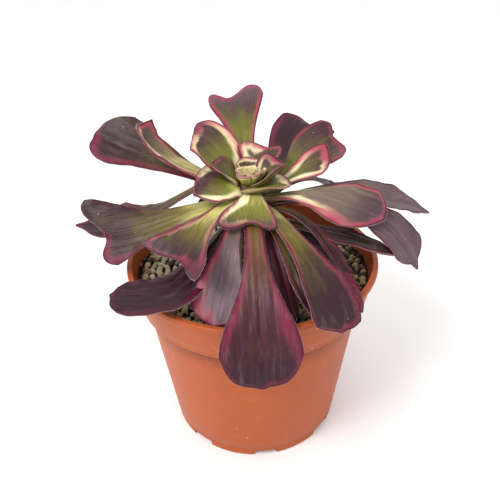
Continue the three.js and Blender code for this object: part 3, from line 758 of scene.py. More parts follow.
# %% Leaf scar tree
scar_tree, w, put = geometry_tree("leaf scars", {
    "Count": ("Int", 40), "Start height": ("Float", 0.088), "Rise": ("Float", 0.0007),
    "Angle step": ("Float", 2.4), "Stem radius": ("Float", 0.0072), "Scar size": ("Float", 0.0026),
    "Bark": ("Material", None)})
index = w.node("GeometryNodeInputIndex").outputs[0]
angle = w.mul(index, put["Angle step"])
cosine, sine = w.maths("COSINE", angle), w.maths("SINE", angle)
height = w.add(w.mul(index, put["Rise"]), put["Start height"])
narrowing = w.sub(put["Stem radius"], w.ease(height, 0.112, 0.13, 0.0, 0.0026))
spot = w.vector(w.mul(cosine, narrowing), w.mul(sine, narrowing), height)
spots = w.node("GeometryNodePoints", {0: put["Count"], 1: spot}).outputs[0]
outward = w.vector(cosine, sine)
facing = w.facing(outward, "X")
lens = w.node("GeometryNodeMeshUVSphere", {0: 14, 1: 7, 2: 1.0}).outputs[0]
lens = w.node("GeometryNodeTransform", {0: lens, 3: (0.22, 1.0, 0.3)}).outputs[0]
size = w.vector(*[put["Scar size"]] * 3)
scars = w.node("GeometryNodeInstanceOnPoints", {0: spots, 2: lens, 5: facing, 6: size}).outputs[0]
scars = w.store(scars, "scar", 1.0, "INSTANCE")
end_tree(w, w.joined(scars, put["Geometry"]), put["Bark"])
run_tree(stem_piece, scar_tree, {"Count": 52, "Start height": 88 * MM, "Rise": 0.62 * MM,
                                 "Angle step": math.radians(GOLDEN_ANGLE), "Stem radius": 7.1 * MM,
                                 "Scar size": 2.5 * MM, "Bark": stem_bark})
stem_piece.data.shade_smooth()
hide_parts("stem")
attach(stem_piece, "root")
print("stem with scars:", count_triangles(stem_piece), "triangles")

# %% [markdown]
# ## The leaves: one rule, thirty-five sets of numbers
#
# An aeonium leaf is a spoon: a narrow fleshy foot that widens late into a flat blade with a thin edge.
# Every leaf follows the same rule. A curved midline runs from the stem to the tip, and the blade is
# spread across it, cupped, rolled and rippled. So a leaf is a row of numbers, the same ones that the
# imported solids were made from, and the fine leaf lies exactly where its solid does.
#
# `az`, `reach` and `tip` say where the blade ends, `base` how high its foot sits, `climb` and `fall`
# its slopes at the two ends, `blade` and `neck` its widths, and `cup`, `roll` and `wave` its section.

# %% Leaf table, in millimetres and degrees
def grown(name, place, **section):
    """One row: place and widths in the order of PLACE, then what the leaf's section has of its own."""
    return {"name": "leaf_" + name, **dict(zip(PLACE, place)), **section}


PLACE = ("az", "reach", "tip", "base", "climb", "fall", "blade", "neck")
LEAVES = [
    grown("inner_right_back", (16, 14.5, 138, 130.4, 30, 35, 18, 15), cup=0.5, roll=10, sway=-48, corner=0.1,
          round=0.12, slant=-0.15),
    grown("inner_left_back", (172, 16.5, 139, 130.1, 38, 20, 20.4, 10), cup=0.28, roll=-6, mucro=0.05,
          round=0.45),
    grown("inner_back", (67, 18, 142.6, 129.5, 55, 40, 24, 11), cup=0.35, slant=0, notch=0.12, dip=-0.2,
          round=0.1, corner=0.25),
    grown("inner_right", (-20, 18.5, 132, 129, 18, 0, 24, 16), cup=0.15, roll=-8, sway=-45, corner=0.1,
          round=0.1),
    grown("inner_left", (177, 24.2, 133, 128.3, 30, -15, 28, 12), cup=-0.1, roll=-17, round=0.05, end=0.6,
          corner=0.1, sway=32, tm=0.38, turn=-15, slant=0.08, roll0=-17),
    grown("inner_front", (-94, 29, 121, 127.2, 16, -50, 26, 8.5), cup=0.1, round=0, mucro=0, end=1, tm=0.95,
          corner=0.12, sway=8, notch=0.14, dip=0.15, crease=0.15, ruffle=0.25),
    grown("right_middle", (2, 35.5, 139.6, 126.2, 19, 18, 20, 7), cup=0.25, roll=20, end=1, round=0.08,
          slant=-0.1, tm=0.9),
    grown("left_middle", (149.5, 30, 147, 126.4, 56, -2, 24, 9), cup=0.2, roll=-20, round=0.02, end=0.72,
          slant=0.1, hb=0.5, sway=-8, corner=0.04, tm=0.62, flare=1.1, roll0=-8),
    grown("back_right_low", (23, 47, 143.5, 121.6, 32, 8, 29, 7), cup=0.2, roll=17, end=1, round=0.06,
          slant=-0.08, tm=0.75, notch=0.08, dip=0.15, corner=0.08),
    grown("back_tall", (98.5, 61, 158.5, 126.8, 20, 28, 34, 8.5), cup=0.25, round=0.1, slant=0.04, flare=2.6,
          tm=0.95, notch=0.13, dip=0.1, corner=0.12, sway=-6, ruffle=0.2),
    grown("right_broad", (-32, 61.2, 126.5, 123.8, 22, -12, 25.5, 7), cup=0.12, roll=25, round=0.2,
          slant=-0.06),
    grown("front_left", (-128.5, 51, 110.4, 125.4, 2, -35, 39, 7), cup=0.3, round=0.02, slant=-0.06, roll=7,
          tm=1, flare=2.6, end=1, notch=0.09),
    grown("front_right", (-57.5, 64, 88.2, 121.6, 17, -62, 24, 8), cup=0.15, tm=0.9, round=0.05, flare=3.2,
          slant=-0.05, sway=-12),
    grown("back_right_high", (56.3, 60, 142.2, 124.2, 20, 15, 29, 7), cup=0.2, roll=25, round=0.05, notch=0.07,
          slant=0.06, dip=-0.1, tm=0.75, corner=0.05),
    grown("left_channelled", (167, 51, 154, 125, 23, 75, 14.5, 7.5), cup=0.5, roll=0, hb=0.55, ht=0.35,
          round=0, end=1),
    grown("left_spoon", (161, 79, 147, 122, 27, 22, 31, 6.5), cup=0.32, roll=-32, round=0.15, hb=0.35,
          notch=0.03, dip=0.05, corner=0.06),
    grown("left_flared", (-172, 75, 110.4, 123, -4, 3, 35, 10.5), cup=0.02, roll=-46, round=0.03, slant=0.1,
          end=1, tm=1, flare=2.6, sway=9, notch=0.12, corner=0.05),
    grown("front_large", (-88, 71, 76, 124.6, -5, -70, 33, 8), cup=0.1, flare=3.6, round=0.04, tm=0.86,
          mucro=0.01, hb=0.35, corner=0.12, crease=0.5),
    grown("right_long", (2, 81, 112.5, 118.6, 21, -22, 17, 6), cup=0.3, roll=20, mucro=0.05, round=0.2, tm=0.7,
          hb=0.38, end=0.86, sway=3),
    grown("front_right_inner", (-65, 60, 95.5, 118.6, 10, -35, 12, 6), cup=0.2),
    grown("right_drooping", (-27.5, 75, 108, 120.2, 28, -60, 19, 6), cup=0.2, roll=25, mucro=0.05, round=0.1,
          tm=0.95, flare=2, end=0.95),
    grown("left_narrow", (174, 81.75, 106, 123.4, 60, 0, 25, 4.5), cup=0.2, mucro=0.06, round=0.25, roll=-20,
          hb=0.36, ht=0.62, sway=14, flare=3.6),
    grown("front_left_low", (-141, 73, 103, 116.6, -30, 6, 22.5, 6.5), cup=-0.02, sway=2, roll=-8, turn=-45,
          ht=0.5, hb=0.5, corner=0.03, tm=0.7, end=0.75, round=0.03),
    grown("front_left_inner", (-107.5, 54, 90.5, 121.4, 8, -48, 22, 7), cup=0.1, round=0.1, flare=2.5),
    grown("right_thin", (-38.5, 55, 91, 117.6, 42, -72, 5.8, 4), cup=0.3, roll=20, sway=-6),
    grown("right_under", (-32, 68, 112.6, 114.2, 0, -8, 10.5, 5.5), cup=0.25, roll=15, round=0.4),
    grown("front_slim", (-71, 50, 89.5, 116.4, 10, -45, 11, 6), cup=0.1),
    grown("front_right_low", (-46.8, 64, 92.4, 111.8, 2, -45, 14.5, 6), cup=0.1, roll=12, flare=4, sway=-30),
    grown("left_strip", (-146, 47, 116, 118, 4, -15, 7, 4.5), cup=0.2, roll=-10, sway=14),
    grown("front_left_dark", (-115, 46, 90.5, 110.8, -8, -50, 11, 5.5), cup=0.2, roll=-50),
    grown("right_dark", (-33, 42, 101, 108.8, 8, -50, 12, 5.5), cup=0.3, roll=15),
    grown("rear_1", (109, 60, 102, 119, 20, -45, 22, 6)),
    grown("rear_2", (80, 71.5, 98, 116, 15, -50, 22, 6)),
    grown("rear_3", (42, 62, 107, 117.6, 28, -40, 20, 6)),
    grown("rear_4", (119, 45, 98, 116, 18, -45, 20, 6)),
]
LEAF_DEFAULTS = dict(
    sway=0, turn=0, roll=0, roll0=0, cup=0.22, end=0.92, tm=0.84, flare=1.5, round=0.2, corner=0,
    slant=0, mucro=0.012, notch=0, dip=0, wave=0.6, hb=0.42, ht=0.36, root=None)
THICK_FOOT, THICK_TIP, THICK_EDGE = 2.2, 1.3, 0.7
UV_MM = 100.0   # millimetres in one unit of the leaves' own map
print("leaves:", len(LEAVES))

# %% Midline
MIDLINE_POINTS = 201


def smooth_step(x):
    x = np.clip(x, 0, 1)
    return x * x * (3 - 2 * x)


def polar(az, r, z):
    return np.array((r * math.cos(math.radians(az)), r * math.sin(math.radians(az)), z))


def heading(az, el):
    a, e = math.radians(az), math.radians(el)
    return np.array((math.cos(a) * math.cos(e), math.sin(a) * math.cos(e), math.sin(e)))


def unit(v):
    return v / np.linalg.norm(v, axis=-1, keepdims=True)


def midline(leaf):
    """The leaf's middle line as points, directions, share of the length, and the length, foot to tip."""
    lift = math.radians(leaf["climb"])
    foot = stem_radius(leaf["base"] - 1.1 * math.cos(lift)) + 0.45 + 1.1 * abs(math.sin(lift))
    p0 = polar(leaf["az"] + leaf["sway"], foot if leaf["root"] is None else leaf["root"], leaf["base"])
    p3 = polar(leaf["az"], leaf["reach"], leaf["tip"])
    chord = float(np.linalg.norm(p3 - p0))
    flat = math.degrees(math.atan2(p3[1] - p0[1], p3[0] - p0[0]))
    p1 = p0 + heading(leaf["az"] + leaf["sway"], leaf["climb"]) * chord * leaf["hb"]
    p2 = p3 - heading(flat + leaf["turn"], leaf["fall"]) * chord * leaf["ht"]
    t = np.linspace(0, 1, MIDLINE_POINTS)[:, None]
    line = (1 - t) ** 3 * p0 + 3 * (1 - t) ** 2 * t * p1 + 3 * (1 - t) * t * t * p2 + t ** 3 * p3
    way = unit(3 * (1 - t) ** 2 * (p1 - p0) + 6 * (1 - t) * t * (p2 - p1) + 3 * t * t * (p3 - p2))
    run = np.concatenate([[0], np.cumsum(np.linalg.norm(np.diff(line, axis=0), axis=1))])
    return line, way, run / run[-1], float(run[-1])


print("longest leaf, mm:", round(max(midline({**LEAF_DEFAULTS, **leaf})[3] for leaf in LEAVES), 1))

# %% Blade
def width_at(leaf, s):
    below = leaf["neck"] + (leaf["blade"] - leaf["neck"]) * smooth_step(s / leaf["tm"]) ** leaf["flare"]
    beyond = leaf["blade"] * (1 - (1 - leaf["end"]) * ((s - leaf["tm"]) / max(0.02, 1 - leaf["tm"])) ** 2)
    return np.where(s < leaf["tm"], below, beyond)


def blade_points(leaf, t, u):
    """Where the blade's middle layer is, for t from foot to tip and u from -1 to 1 across."""
    line, way, run, length = midline(leaf)
    au = np.abs(u)
    cut = (leaf["round"] * au ** 2.2 + leaf["corner"] * au ** 6 + leaf["slant"] * u
           - leaf["mucro"] * np.exp(-((u / 0.16) ** 2))
           + leaf["notch"] * np.exp(-(((u - leaf["dip"]) / 0.45) ** 2)))
    s = np.clip(t - cut * t ** np.minimum(4, 0.9 / np.maximum(cut, 0.01)), 0, 1.2)
    sc = np.minimum(s, 1)
    centre = np.stack([np.interp(sc, run, line[:, k]) for k in range(3)], -1)
    ahead_of = unit(np.stack([np.interp(sc, run, way[:, k]) for k in range(3)], -1))
    centre = centre + ahead_of * (np.clip(s - 1, 0, None) * length)[..., None]
    az0 = math.radians(leaf["az"] + leaf["sway"])
    swing = math.atan2(line[-1, 1] - line[0, 1], line[-1, 0] - line[0, 0]) - az0
    swing = math.atan2(math.sin(swing), math.cos(swing))
    phi = az0 + swing * sc
    side_way = np.stack([-np.sin(phi), np.cos(phi), np.zeros_like(phi)], -1)
    side_way = unit(side_way - np.sum(side_way * ahead_of, -1, keepdims=True) * ahead_of)
    up_way = np.cross(ahead_of, side_way)
    roll = np.radians(leaf["roll0"] + (leaf["roll"] - leaf["roll0"]) * smooth_step(s))[..., None]
    across_way = side_way * np.cos(roll) + up_way * np.sin(roll)
    over_way = up_way * np.cos(roll) - side_way * np.sin(roll)
    half = width_at(leaf, s) / 2
    grow = smooth_step((s - 0.1) / 0.6)
    cup = leaf["cup"] * (0.6 + 0.4 * grow)
    rise = (half * cup * au ** 1.7
            + leaf["wave"] * grow * au ** 3 * np.sin(2 * math.pi * (1.6 * s) + np.sign(u) * 1.3))
    spread = half * u * (1 - 0.12 * np.abs(cup) * au)
    thick = np.maximum(THICK_EDGE, (THICK_FOOT + (THICK_TIP - THICK_FOOT) * s) * (1 - 0.72 * au ** 2.5))
    middle = centre + across_way * spread[..., None] + over_way * rise[..., None]
    return dict(middle=middle, over=over_way, across=across_way, ahead=ahead_of, half=half, s=s, thick=thick,
                length=length)


print("blade rule ready")

# %% [markdown]
# ## Fine leaf surfaces
#
# The fine leaf has an upper and a lower skin on the same grid, pulled together at the margin in a
# round edge. Columns crowd at the margin and at the midrib, where the form bends most. Old leaves
# shrink a little as they dry, which draws shallow pleats along them. Each point also keeps what the
# colouring needs: its distance from the margin, how far along it lies, and which skin it belongs to.

# %% Grid of a leaf
EDGE_ROUND = 0.42           # mm over which the margin rounds off
EDGE_LINES = (0.05, 0.19)   # mm from the margin, where the round edge has lines of its own
CORE = 1.6                  # mm beside the midrib that have lines of their own


def grid_of(leaf, step=1.25, side_columns=11):
    """Rows of t and columns of u, close together at the margins and the midrib."""
    length = midline(leaf)[3]
    edge = np.array((0.0, *EDGE_LINES, EDGE_ROUND)) / length
    body = np.linspace(edge[-1], 1 - edge[-1], max(10, int(length / step)))[1:-1]
    rows = np.concatenate([edge, body, 1 - edge[::-1]])
    half = width_at(leaf, rows) / 2
    columns = []
    for h in half:
        core = min(CORE, 0.45 * h) / h
        rim = 1 - EDGE_ROUND / h
        right_side = [0.25 * core, 0.55 * core, core]
        right_side += [core + (rim - core) * k / side_columns for k in range(1, side_columns + 1)]
        right_side += [1 - EDGE_LINES[1] / h, 1 - EDGE_LINES[0] / h, 1.0]
        right_side = np.array(right_side)
        columns.append(np.concatenate([-right_side[::-1], [0.0], right_side]))
    u = np.array(columns)
    return np.repeat(rows[:, None], u.shape[1], 1), u


print("grid of the largest leaf:", grid_of({**LEAF_DEFAULTS, **LEAVES[0]})[1].shape)

# %% Two skins and the rounded margin
def leaf_skins(leaf, step=1.25, side_columns=11):
    t, u = grid_of(leaf, step, side_columns)
    b = blade_points(leaf, t, u)
    half, s, length = b["half"], b["s"], b["length"]
    x, y = u * half, s * length
    from_side = half * (1 - np.abs(u))
    from_tip = (1 - t) * length
    from_foot = t * length
    nearest = np.minimum(np.minimum(from_side, from_tip), from_foot)
    rim = np.minimum(from_side, from_tip * 0.9)
    full = np.sqrt(np.clip(1 - (1 - np.clip(nearest / EDGE_ROUND, 0, 1)) ** 2, 0, 1))
    seed, age = leaf["seed"], leaf["age"]
    inner = smooth_step(nearest / 3.0)
    pleats = (0.10 * np.sin(1.35 * x + 0.06 * y + seed)
              + 0.07 * np.sin(2.3 * x - 0.045 * y + 2 * seed)) * (0.35 + age)
    swells = (0.30 * np.sin(0.11 * y + 0.22 * x + 3 * seed)
              + 0.2 * np.sin(0.19 * y - 0.3 * x + seed)) * (0.3 + 0.7 * age)
    ruffle = leaf["ruffle"] * smooth_step(1 - from_side / 5.0) * smooth_step(s * 1.6 - 0.4) * (
        np.sin(0.42 * y + seed + 1.2 * np.sign(u)) + 0.5 * np.sin(0.95 * y + 2.2 * seed))
    crease = leaf["crease"] * np.exp(-((x / 0.75) ** 2)) * smooth_step(s / 0.15)
    keel = 0.55 * np.exp(-((x / 1.6) ** 2)) * (1 - 0.7 * s)
    shift = (pleats + swells) * inner + ruffle
    top_at = b["middle"] + b["over"] * (shift + full * (b["thick"] / 2) - crease * inner)[..., None]
    low_at = b["middle"] + b["over"] * (shift - full * (b["thick"] / 2 + keel * inner))[..., None]
    return dict(top=top_at, low=low_at, t=t, u=u, x=x, y=y, s=s, rim=rim, length=length, over=b["over"],
                across=b["across"], ahead=b["ahead"])


def leaf_mesh(skins):
    """Points, faces and, for each point, its grid cell and skin. The two skins share the outline's points."""
    rows, cols = skins["t"].shape
    inside = np.zeros((rows, cols), bool)
    inside[1:-1, 1:-1] = True
    upper = np.arange(rows * cols).reshape(rows, cols)
    lower = upper.copy()
    lower[inside] = rows * cols + np.arange(inside.sum())
    points = np.concatenate([skins["top"].reshape(-1, 3), skins["low"][inside]])
    cell = np.concatenate([np.arange(rows * cols), upper[inside]])
    under = np.concatenate([np.zeros(rows * cols), np.ones(int(inside.sum()))])
    a, c = upper[:-1, :-1], upper[1:, 1:]
    top_faces = np.stack([a, upper[1:, :-1], c, upper[:-1, 1:]], -1).reshape(-1, 4)
    low_faces = np.stack([lower[:-1, :-1], lower[:-1, 1:], lower[1:, 1:], lower[1:, :-1]], -1).reshape(-1, 4)
    return points, np.concatenate([top_faces, low_faces]), cell, under


trial = leaf_skins({**LEAF_DEFAULTS, "seed": 0, "age": 1, "ruffle": 0.3, "crease": 0.3, **LEAVES[17]})
print("large front leaf:", round(trial["length"], 1), "mm long,", trial["t"].size, "points on one skin")

# %% [markdown]
# ## Markings
#
# This is a variegated plant. The margins have lost their green and show crimson, then rose, then a
# cream band where there is no pigment at all; the colours run into each other. The blade glows
# yellow-green at the foot and goes through olive to a purple dusk where the sun reaches it. No two
# leaves are marked alike, so each has its own widths in millimetres, given at even steps from foot to
# tip: `lo` is the margin on the side of smaller azimuth and `hi` the other, each as (rose widths,
# cream widths). `dusk` darkens the middle, and below zero it lights the foot; `blush` turns rose into
# crimson, `red` floods the whole blade, and `ash` lays a lilac-grey layer under the bands, partly the
# leaf's waxy bloom and partly painted sheen.

# %% Markings table
YOUNG = dict(lo=((0.6, 1.2, 1.4), (1.6, 1.4, 0.2)), hi=((0.6, 1.2, 1.4), (1.6, 1.4, 0.2)),
        dusk=(-0.2, 0.3, 0.8), blush=0.4)
OLD = dict(lo=((0.4, 0.8, 1), (0.1, 0, 0)), hi=((0.4, 0.8, 1), (0.1, 0, 0)), dusk=(0.2, 0.8, 1.1), blush=0.8)
MARKINGS = {
    "leaf_inner_right_back": dict(lo=((0.4, 0.8, 1.4), (0.1, 0.1, 0.1)), hi=((0.5, 1.1, 1.8), (1, 1.4, 0.2)),
        dusk=(-0.1, 0.5, 0.9), blush=0.55),
    "leaf_inner_left_back": dict(lo=((0.4, 1.2, 1.2), (0.3, 0.1, 0)), hi=((0.4, 0.6, 0.9), (1.4, 0.8, 0.1)),
        dusk=(0, 0.5, 0.85), blush=0.7),
    "leaf_inner_back": dict(lo=((0.4, 1, 1.7), (0.1, 0.1, 0)), hi=((0.8, 1.8, 2.8), (2.6, 3, 0.3)),
        dusk=(0, 0.65, 1.05), blush=0.5),
    "leaf_inner_right": dict(lo=((0.4, 0.7, 1), (0.2, 0.4, 1)), hi=((0.4, 0.9, 1.5), (0.6, 2.2, 2.8)),
        dusk=(-0.6, 0.1, 0.7), blush=0.45),
    "leaf_inner_left": dict(lo=((0.3, 0.4, 1.2, 2.2), (0.4, 0.8, 2.6, 1.6)),
        hi=((0.6, 1.2, 0.9, 2.2), (3.2, 2.4, 0.1, 0)), dusk=(-0.8, 0.1, 0.85, 1.15), blush=0.6),
    "leaf_inner_front": dict(lo=((0.1, 0.4, 1.4, 1.8, 0.9), (2.2, 3.4, 3.4, 1, 0)),
        hi=((0.1, 0.2, 0.9, 1.5, 1), (0.6, 0.7, 0.6, 0.1, 0)), dusk=(-0.8, -0.4, -0.1, 0.35, 1.25), blush=0.75),
    "leaf_right_middle": dict(lo=((0.4, 0.6, 1.2, 2.6), (1.6, 2.6, 2, 0.3)),
        hi=((0.4, 1.1, 2, 2.4), (1.6, 3, 0.8, 0)), dusk=(-0.4, 0.15, 0.7, 1), blush=0.35),
    "leaf_left_middle": dict(lo=((0.8, 1.9, 2.8, 2), (1.4, 2.8, 1.4, 0)),
        hi=((0.8, 1, 0.9, 2.6), (1.8, 0.2, 0.3, 2)), dusk=(-0.3, 0, 0.55, 1.15), blush=0.35),
    "leaf_back_right_low": dict(lo=((0.4, 0.8, 1.8, 3.8), (0.4, 0.4, 0, 0)),
        hi=((0.3, 0.6, 1.1, 1.4), (0, 0, 0, 0)), dusk=(-0.1, 0.25, 0.65, 1), blush=0.75),
    "leaf_back_tall": dict(lo=((0.6, 1.2, 1.6, 1.7), (0, 0, 0, 0)), hi=((0.6, 1.2, 2.8, 3), (0, 0, 0, 0)),
        dusk=(0, 0.1, 0.2, 0.7, 1.1), blush=0.6, ash=(0, 0, 0, 0.35)),
    "leaf_right_broad": dict(lo=((0.4, 1.8, 4.4, 2.6), (3.2, 2.4, 0.4, 0)),
        hi=((0.2, 0.3, 0.8, 1.4), (1.2, 0.2, 0, 0)), dusk=(-0.7, 0, 0.5, 1.1), blush=0.5,
        ash=(0.25, 0.35, 0.25, 0.1)),
    "leaf_front_left": dict(lo=((0.5, 1.2, 2.4, 1.2), (0.4, 0.5, 0.5, 0)),
        hi=((0.4, 1.2, 2.8, 4.4), (0.4, 0.6, 0.5, 0)), dusk=(-1.3, -0.9, -0.25, 0.6, 1.25), blush=0.78),
    "leaf_front_right": dict(lo=((0.6, 1, 1.2, 0.8), (0.6, 0.1, 0, 0)),
        hi=((0.4, 0.9, 1.5, 1.7), (0.6, 0.4, 0.1, 0)), dusk=(-0.7, -0.2, 0.4, 0.9, 1.05), blush=0.8),
    "leaf_back_right_high": dict(lo=((0.3, 0.4, 0.6), (0, 0, 0)), hi=((0.4, 2.6, 2.4), (0, 0, 0)),
        dusk=(0.3, 0.95, 1.1), blush=0.85),
    "leaf_left_channelled": dict(lo=((0.1, 0.2, 0.7, 1.8), (0, 0, 0, 0)),
        hi=((1.4, 3, 4, 3.2), (5, 7, 5.4, 1.2)), dusk=(-1, -0.6, -0.05, 0.8), blush=0.4,
        ash=(0.1, 0.25, 0.25, 0.1)),
    "leaf_left_spoon": dict(lo=((0.1, 0.2, 0.4, 0.9), (0, 0, 0, 0)), hi=((0.4, 1.8, 4.8, 3), (0.4, 0.2, 0, 0)),
        dusk=(-0.3, 0.3, 0.8, 0.95), blush=0.85),
    "leaf_left_flared": dict(lo=((0.2, 0.6, 0.9, 0.4), (0.1, 0, 0, 0)),
        hi=((0.3, 0.5, 1, 6.2), (0.1, 0, 0, 0)), dusk=(-0.9, -0.4, 0.3, 0.75, 0.9), blush=0.92),
    "leaf_front_large": dict(lo=((0.8, 1.4, 1.8, 3, 0.6), (0.1, 0.1, 0, 0, 0)),
        hi=((0.6, 1, 1.2, 4.8, 0.8), (0.1, 0, 0, 0, 0)), dusk=(-0.3, 0.15, 0.65, 1, 1.2), blush=0.85,
        red=(0.2, 0.4, 0.2, 0)),
    "leaf_right_long": dict(lo=((0.3, 0.5, 0.6), (0.2, 0, 0)), hi=((0.2, 0.2, 0.2), (0.6, 0.1, 0)),
        dusk=(-0.2, 0.6, 1.05), blush=0.8, ash=(0.2, 0.35, 0.3)),
    "leaf_front_right_inner": dict(lo=((0.6, 0.8, 0.8), (0.5, 0.1, 0)), hi=((0.4, 0.8, 0.8), (0.2, 0, 0)),
        dusk=(-0.1, 0.5, 1.1), blush=0.8),
    "leaf_right_drooping": dict(lo=((0.6, 1.2, 0.5), (0.2, 0, 0)), hi=((0.2, 0.3, 0.3), (0, 0, 0)),
        dusk=(0.4, 0.8, 1.1), blush=0.75, ash=(0.1, 0.25, 0.3)),
    "leaf_left_narrow": dict(lo=((0.5, 0.7, 1.4), (0.8, 0.1, 0)), hi=((0.4, 0.6, 1), (0.4, 0, 0)),
        dusk=(0.1, 0.6, 1), blush=0.85),
    "leaf_front_left_low": dict(lo=((0.5, 1, 1.2), (0, 0, 0)), hi=((0.8, 2.4, 0.9), (0, 0, 0)),
        dusk=(0.7, 1, 1.15), blush=1),
    "leaf_front_left_inner": dict(lo=((0.6, 1.6, 4.2, 4.4), (0.3, 0.3, 0.2, 0)),
        hi=((0.4, 0.6, 0.6, 0.8), (0.1, 0, 0, 0)), dusk=(0, 0.6, 0.95, 1.05), blush=0.55, ash=(0.1, 0.45, 0.4)),
    "leaf_front_left_dark": dict(lo=((0.5, 0.8, 0.8), (0.5, 0.2, 0)), dusk=(0, 0.5, 1.1), blush=0.7),
    "leaf_front_right_low": dict(dusk=(0.4, 0.8, 0.9), blush=0.95, red=(0.2, 0.7, 0.8)),
    "leaf_front_slim": dict(dusk=(0.4, 1, 1.2), blush=1, red=(0.2, 0.4, 0.3)),
    "leaf_left_strip": dict(hi=((0.8, 0.8, 0.8), (0.6, 0.4, 0.2)), dusk=(0.2, 0.5, 0.8), blush=0.5,
        red=(0.2, 0.3, 0.2)),
    "leaf_right_dark": dict(dusk=(0.5, 1.1, 1.2), blush=1),
    "leaf_right_under": dict(dusk=(0.3, 0.8, 1), blush=0.9),
}
print("leaves with their own markings:", len(MARKINGS))

# %% [markdown]
# ## Leaf skin
#
# The leaf's material reads those numbers from the mesh, and adds what is too fine for points: fibres
# that fray the bands along the leaf, a thin dark outline, a pale line of fine teeth, mineral specks,
# a waxy, uneven gloss and soft pale streaks of painted sheen. The bands are one shader group, because
# young and old leaves share them.

# %% Variegation group
variegation, w, put = shader_group(
    "variegated bands",
    {"Rim": ("Float", 5.0), "Rose width": ("Float", 1.5), "Cream width": ("Float", 1.0),
     "Wander": ("Float", 0.5), "Fibre": ("Float", 0.5)}, ["Rose", "Cream", "Outline", "Hairline", "Depth"])
room = w.add(w.add(put["Rose width"], w.mul(put["Cream width"], 0.6)), 0.3)
wobble = w.add(w.swing(put["Wander"], 1.5),
                 w.swing(put["Fibre"], 0.35))
edge_at = w.add(put["Rim"], w.mul(wobble, room))
both_wide = w.add(put["Rose width"], put["Cream width"])
rose = w.ease(edge_at, w.add(w.mul(put["Rose width"], 1.75), 0.3),
              w.mul(put["Rose width"], 0.35))
rose = w.mul(rose, w.ease(put["Rose width"], 0.1, 1.1))
cream = w.ease(edge_at, w.add(w.mul(both_wide, 1.35), 0.3), w.mul(both_wide, 0.7))
cream = w.mul(cream, w.ease(put["Cream width"], 0.1, 1.1))
depth = w.maths("DIVIDE", edge_at, w.add(w.mul(put["Rose width"], 1.2), 0.1), clamp=True)
outline = w.ease(put["Rim"], 1.05, 0.3)
hairline = w.ease(put["Rim"], 0.2, 0.08)
w.node("NodeGroupOutput", {0: rose, 1: cream, 2: outline, 3: hairline, 4: depth})
print("group:", variegation.name)

# %% Leaf material
def leaf_material(name, olive, olive_light, dusk_dark, dusk_light, gloss, sheen_share):
    material, w, shader = finished_material(name)

    flat = w.split(w.scaled(w.node("ShaderNodeUVMap", uv_map="Blade").outputs[0], UV_MM))
    spot = w.vector(flat[0], flat[1], w.mul(w.number("seed"), 9.0))
    place = w.place()
    fibre = fibres(w, spot, 1.15, 13.0, 2.0)
    hair = fibres(w, spot, 3.2, 5.0, 2.2)
    wander = w.noise(w.mapped(spot, (0.22, 0.07, 1.0)), 1.0, 2.0, 0.5)
    cloud = mottle(w, place, 70.0, 2.0)
    specks = specks_of(w, place, 400.0, 0.09, 0.12)
    bands = place_group(w, variegation, {"Rim": w.number("rim"), "Rose width": w.number("rose"),
                                         "Cream width": w.number("cream"), "Wander": wander, "Fibre": fibre})
    under = w.number("under")

    dusk = w.add(w.number("dusk"), w.swing(fibre, 0.45))
    dusk = w.add(dusk, w.swing(cloud, 0.4))
    dusk = w.add(dusk, w.swing(wander, 0.5))
    streaks = w.add(w.mul(fibre, 0.5), w.mul(hair, 0.5))
    green = w.blend(streaks, olive, olive_light)
    green = w.blend(w.ease(dusk, 0.1, -0.7), green, w.blend(hair, paint(176, 170, 82), paint(224, 214, 138)))
    purple = w.blend(streaks, dusk_dark, dusk_light)
    tone = w.blend(w.ease(dusk, 0.0, 1.0), green, purple)
    flood = w.mul(w.number("red"), w.add(0.5, w.mul(fibre, 0.5)))
    tone = w.blend(flood, tone, paint(120, 22, 54))
    # A lilac-grey layer, partly the leaf's waxy bloom and partly painted sheen.
    ash = w.mul(w.number("ash"), w.add(0.3, w.mul(streaks, 1.4)), clamp=True)
    tone = w.blend(ash, tone, paint(148, 124, 132))
    uncovered = w.ease(dusk, 1.35, 0.8, 0.3, 1.0)
    cream = w.blend(hair, paint(240, 222, 160), paint(252, 244, 208))
    tone = w.blend(w.mul(w.mul(bands[1], uncovered), w.ease(under, 0.0, 1.0, 0.95, 0.6)), tone, cream)
    outer_rose = w.blend(w.number("blush"), paint(186, 32, 84), paint(74, 2, 36))
    inner_rose = w.blend(w.number("blush"), paint(236, 124, 134), paint(112, 18, 56))
    rose = w.blend(w.mul(bands[4], w.add(0.6, w.mul(fibre, 0.5))), outer_rose, inner_rose)
    tone = w.blend(w.mul(w.mul(bands[0], uncovered), 0.94), tone, rose)
    tone = w.blend(w.mul(bands[2], w.ease(dusk, -0.4, 0.8, 0.35, 0.92)), tone, paint(50, 12, 28))
    tone = w.blend(w.mul(bands[3], 0.3), tone, paint(186, 150, 146))
    # Soft pale streaks of painted sheen: the studio light's reflection laid into the colour, with the sheen
    # share below.
    sheen_streaks = w.ease(w.noise(w.mapped(spot, (0.4, 0.09, 1.0), turn=(0.0, 0.0, 0.5)), 1.0, 4.0, 0.62), 0.5, 0.8)
    tone = w.blend(w.mul(sheen_streaks, sheen_share), tone, paint(176, 156, 156))
    tone = w.blend(w.mul(specks, 0.65), tone, paint(232, 224, 204))
    tone = w.blend(w.mul(under, 0.3), tone, paint(92, 62, 70))

    rough = w.add(gloss, w.swing(cloud, 0.2))
    rough = w.add(rough, w.mul(hair, 0.08))
    height = w.add(w.mul(fibre, 0.6), w.mul(hair, 0.25))
    height = w.add(height, w.mul(cloud, 0.5))
    feed(w, shader, Base_Color=tone, Roughness=rough, Normal=bumped(w, height, 0.3, 0.55),
         Specular_IOR_Level=0.24, Subsurface_Weight=0.05, Subsurface_Scale=0.002)
    return material


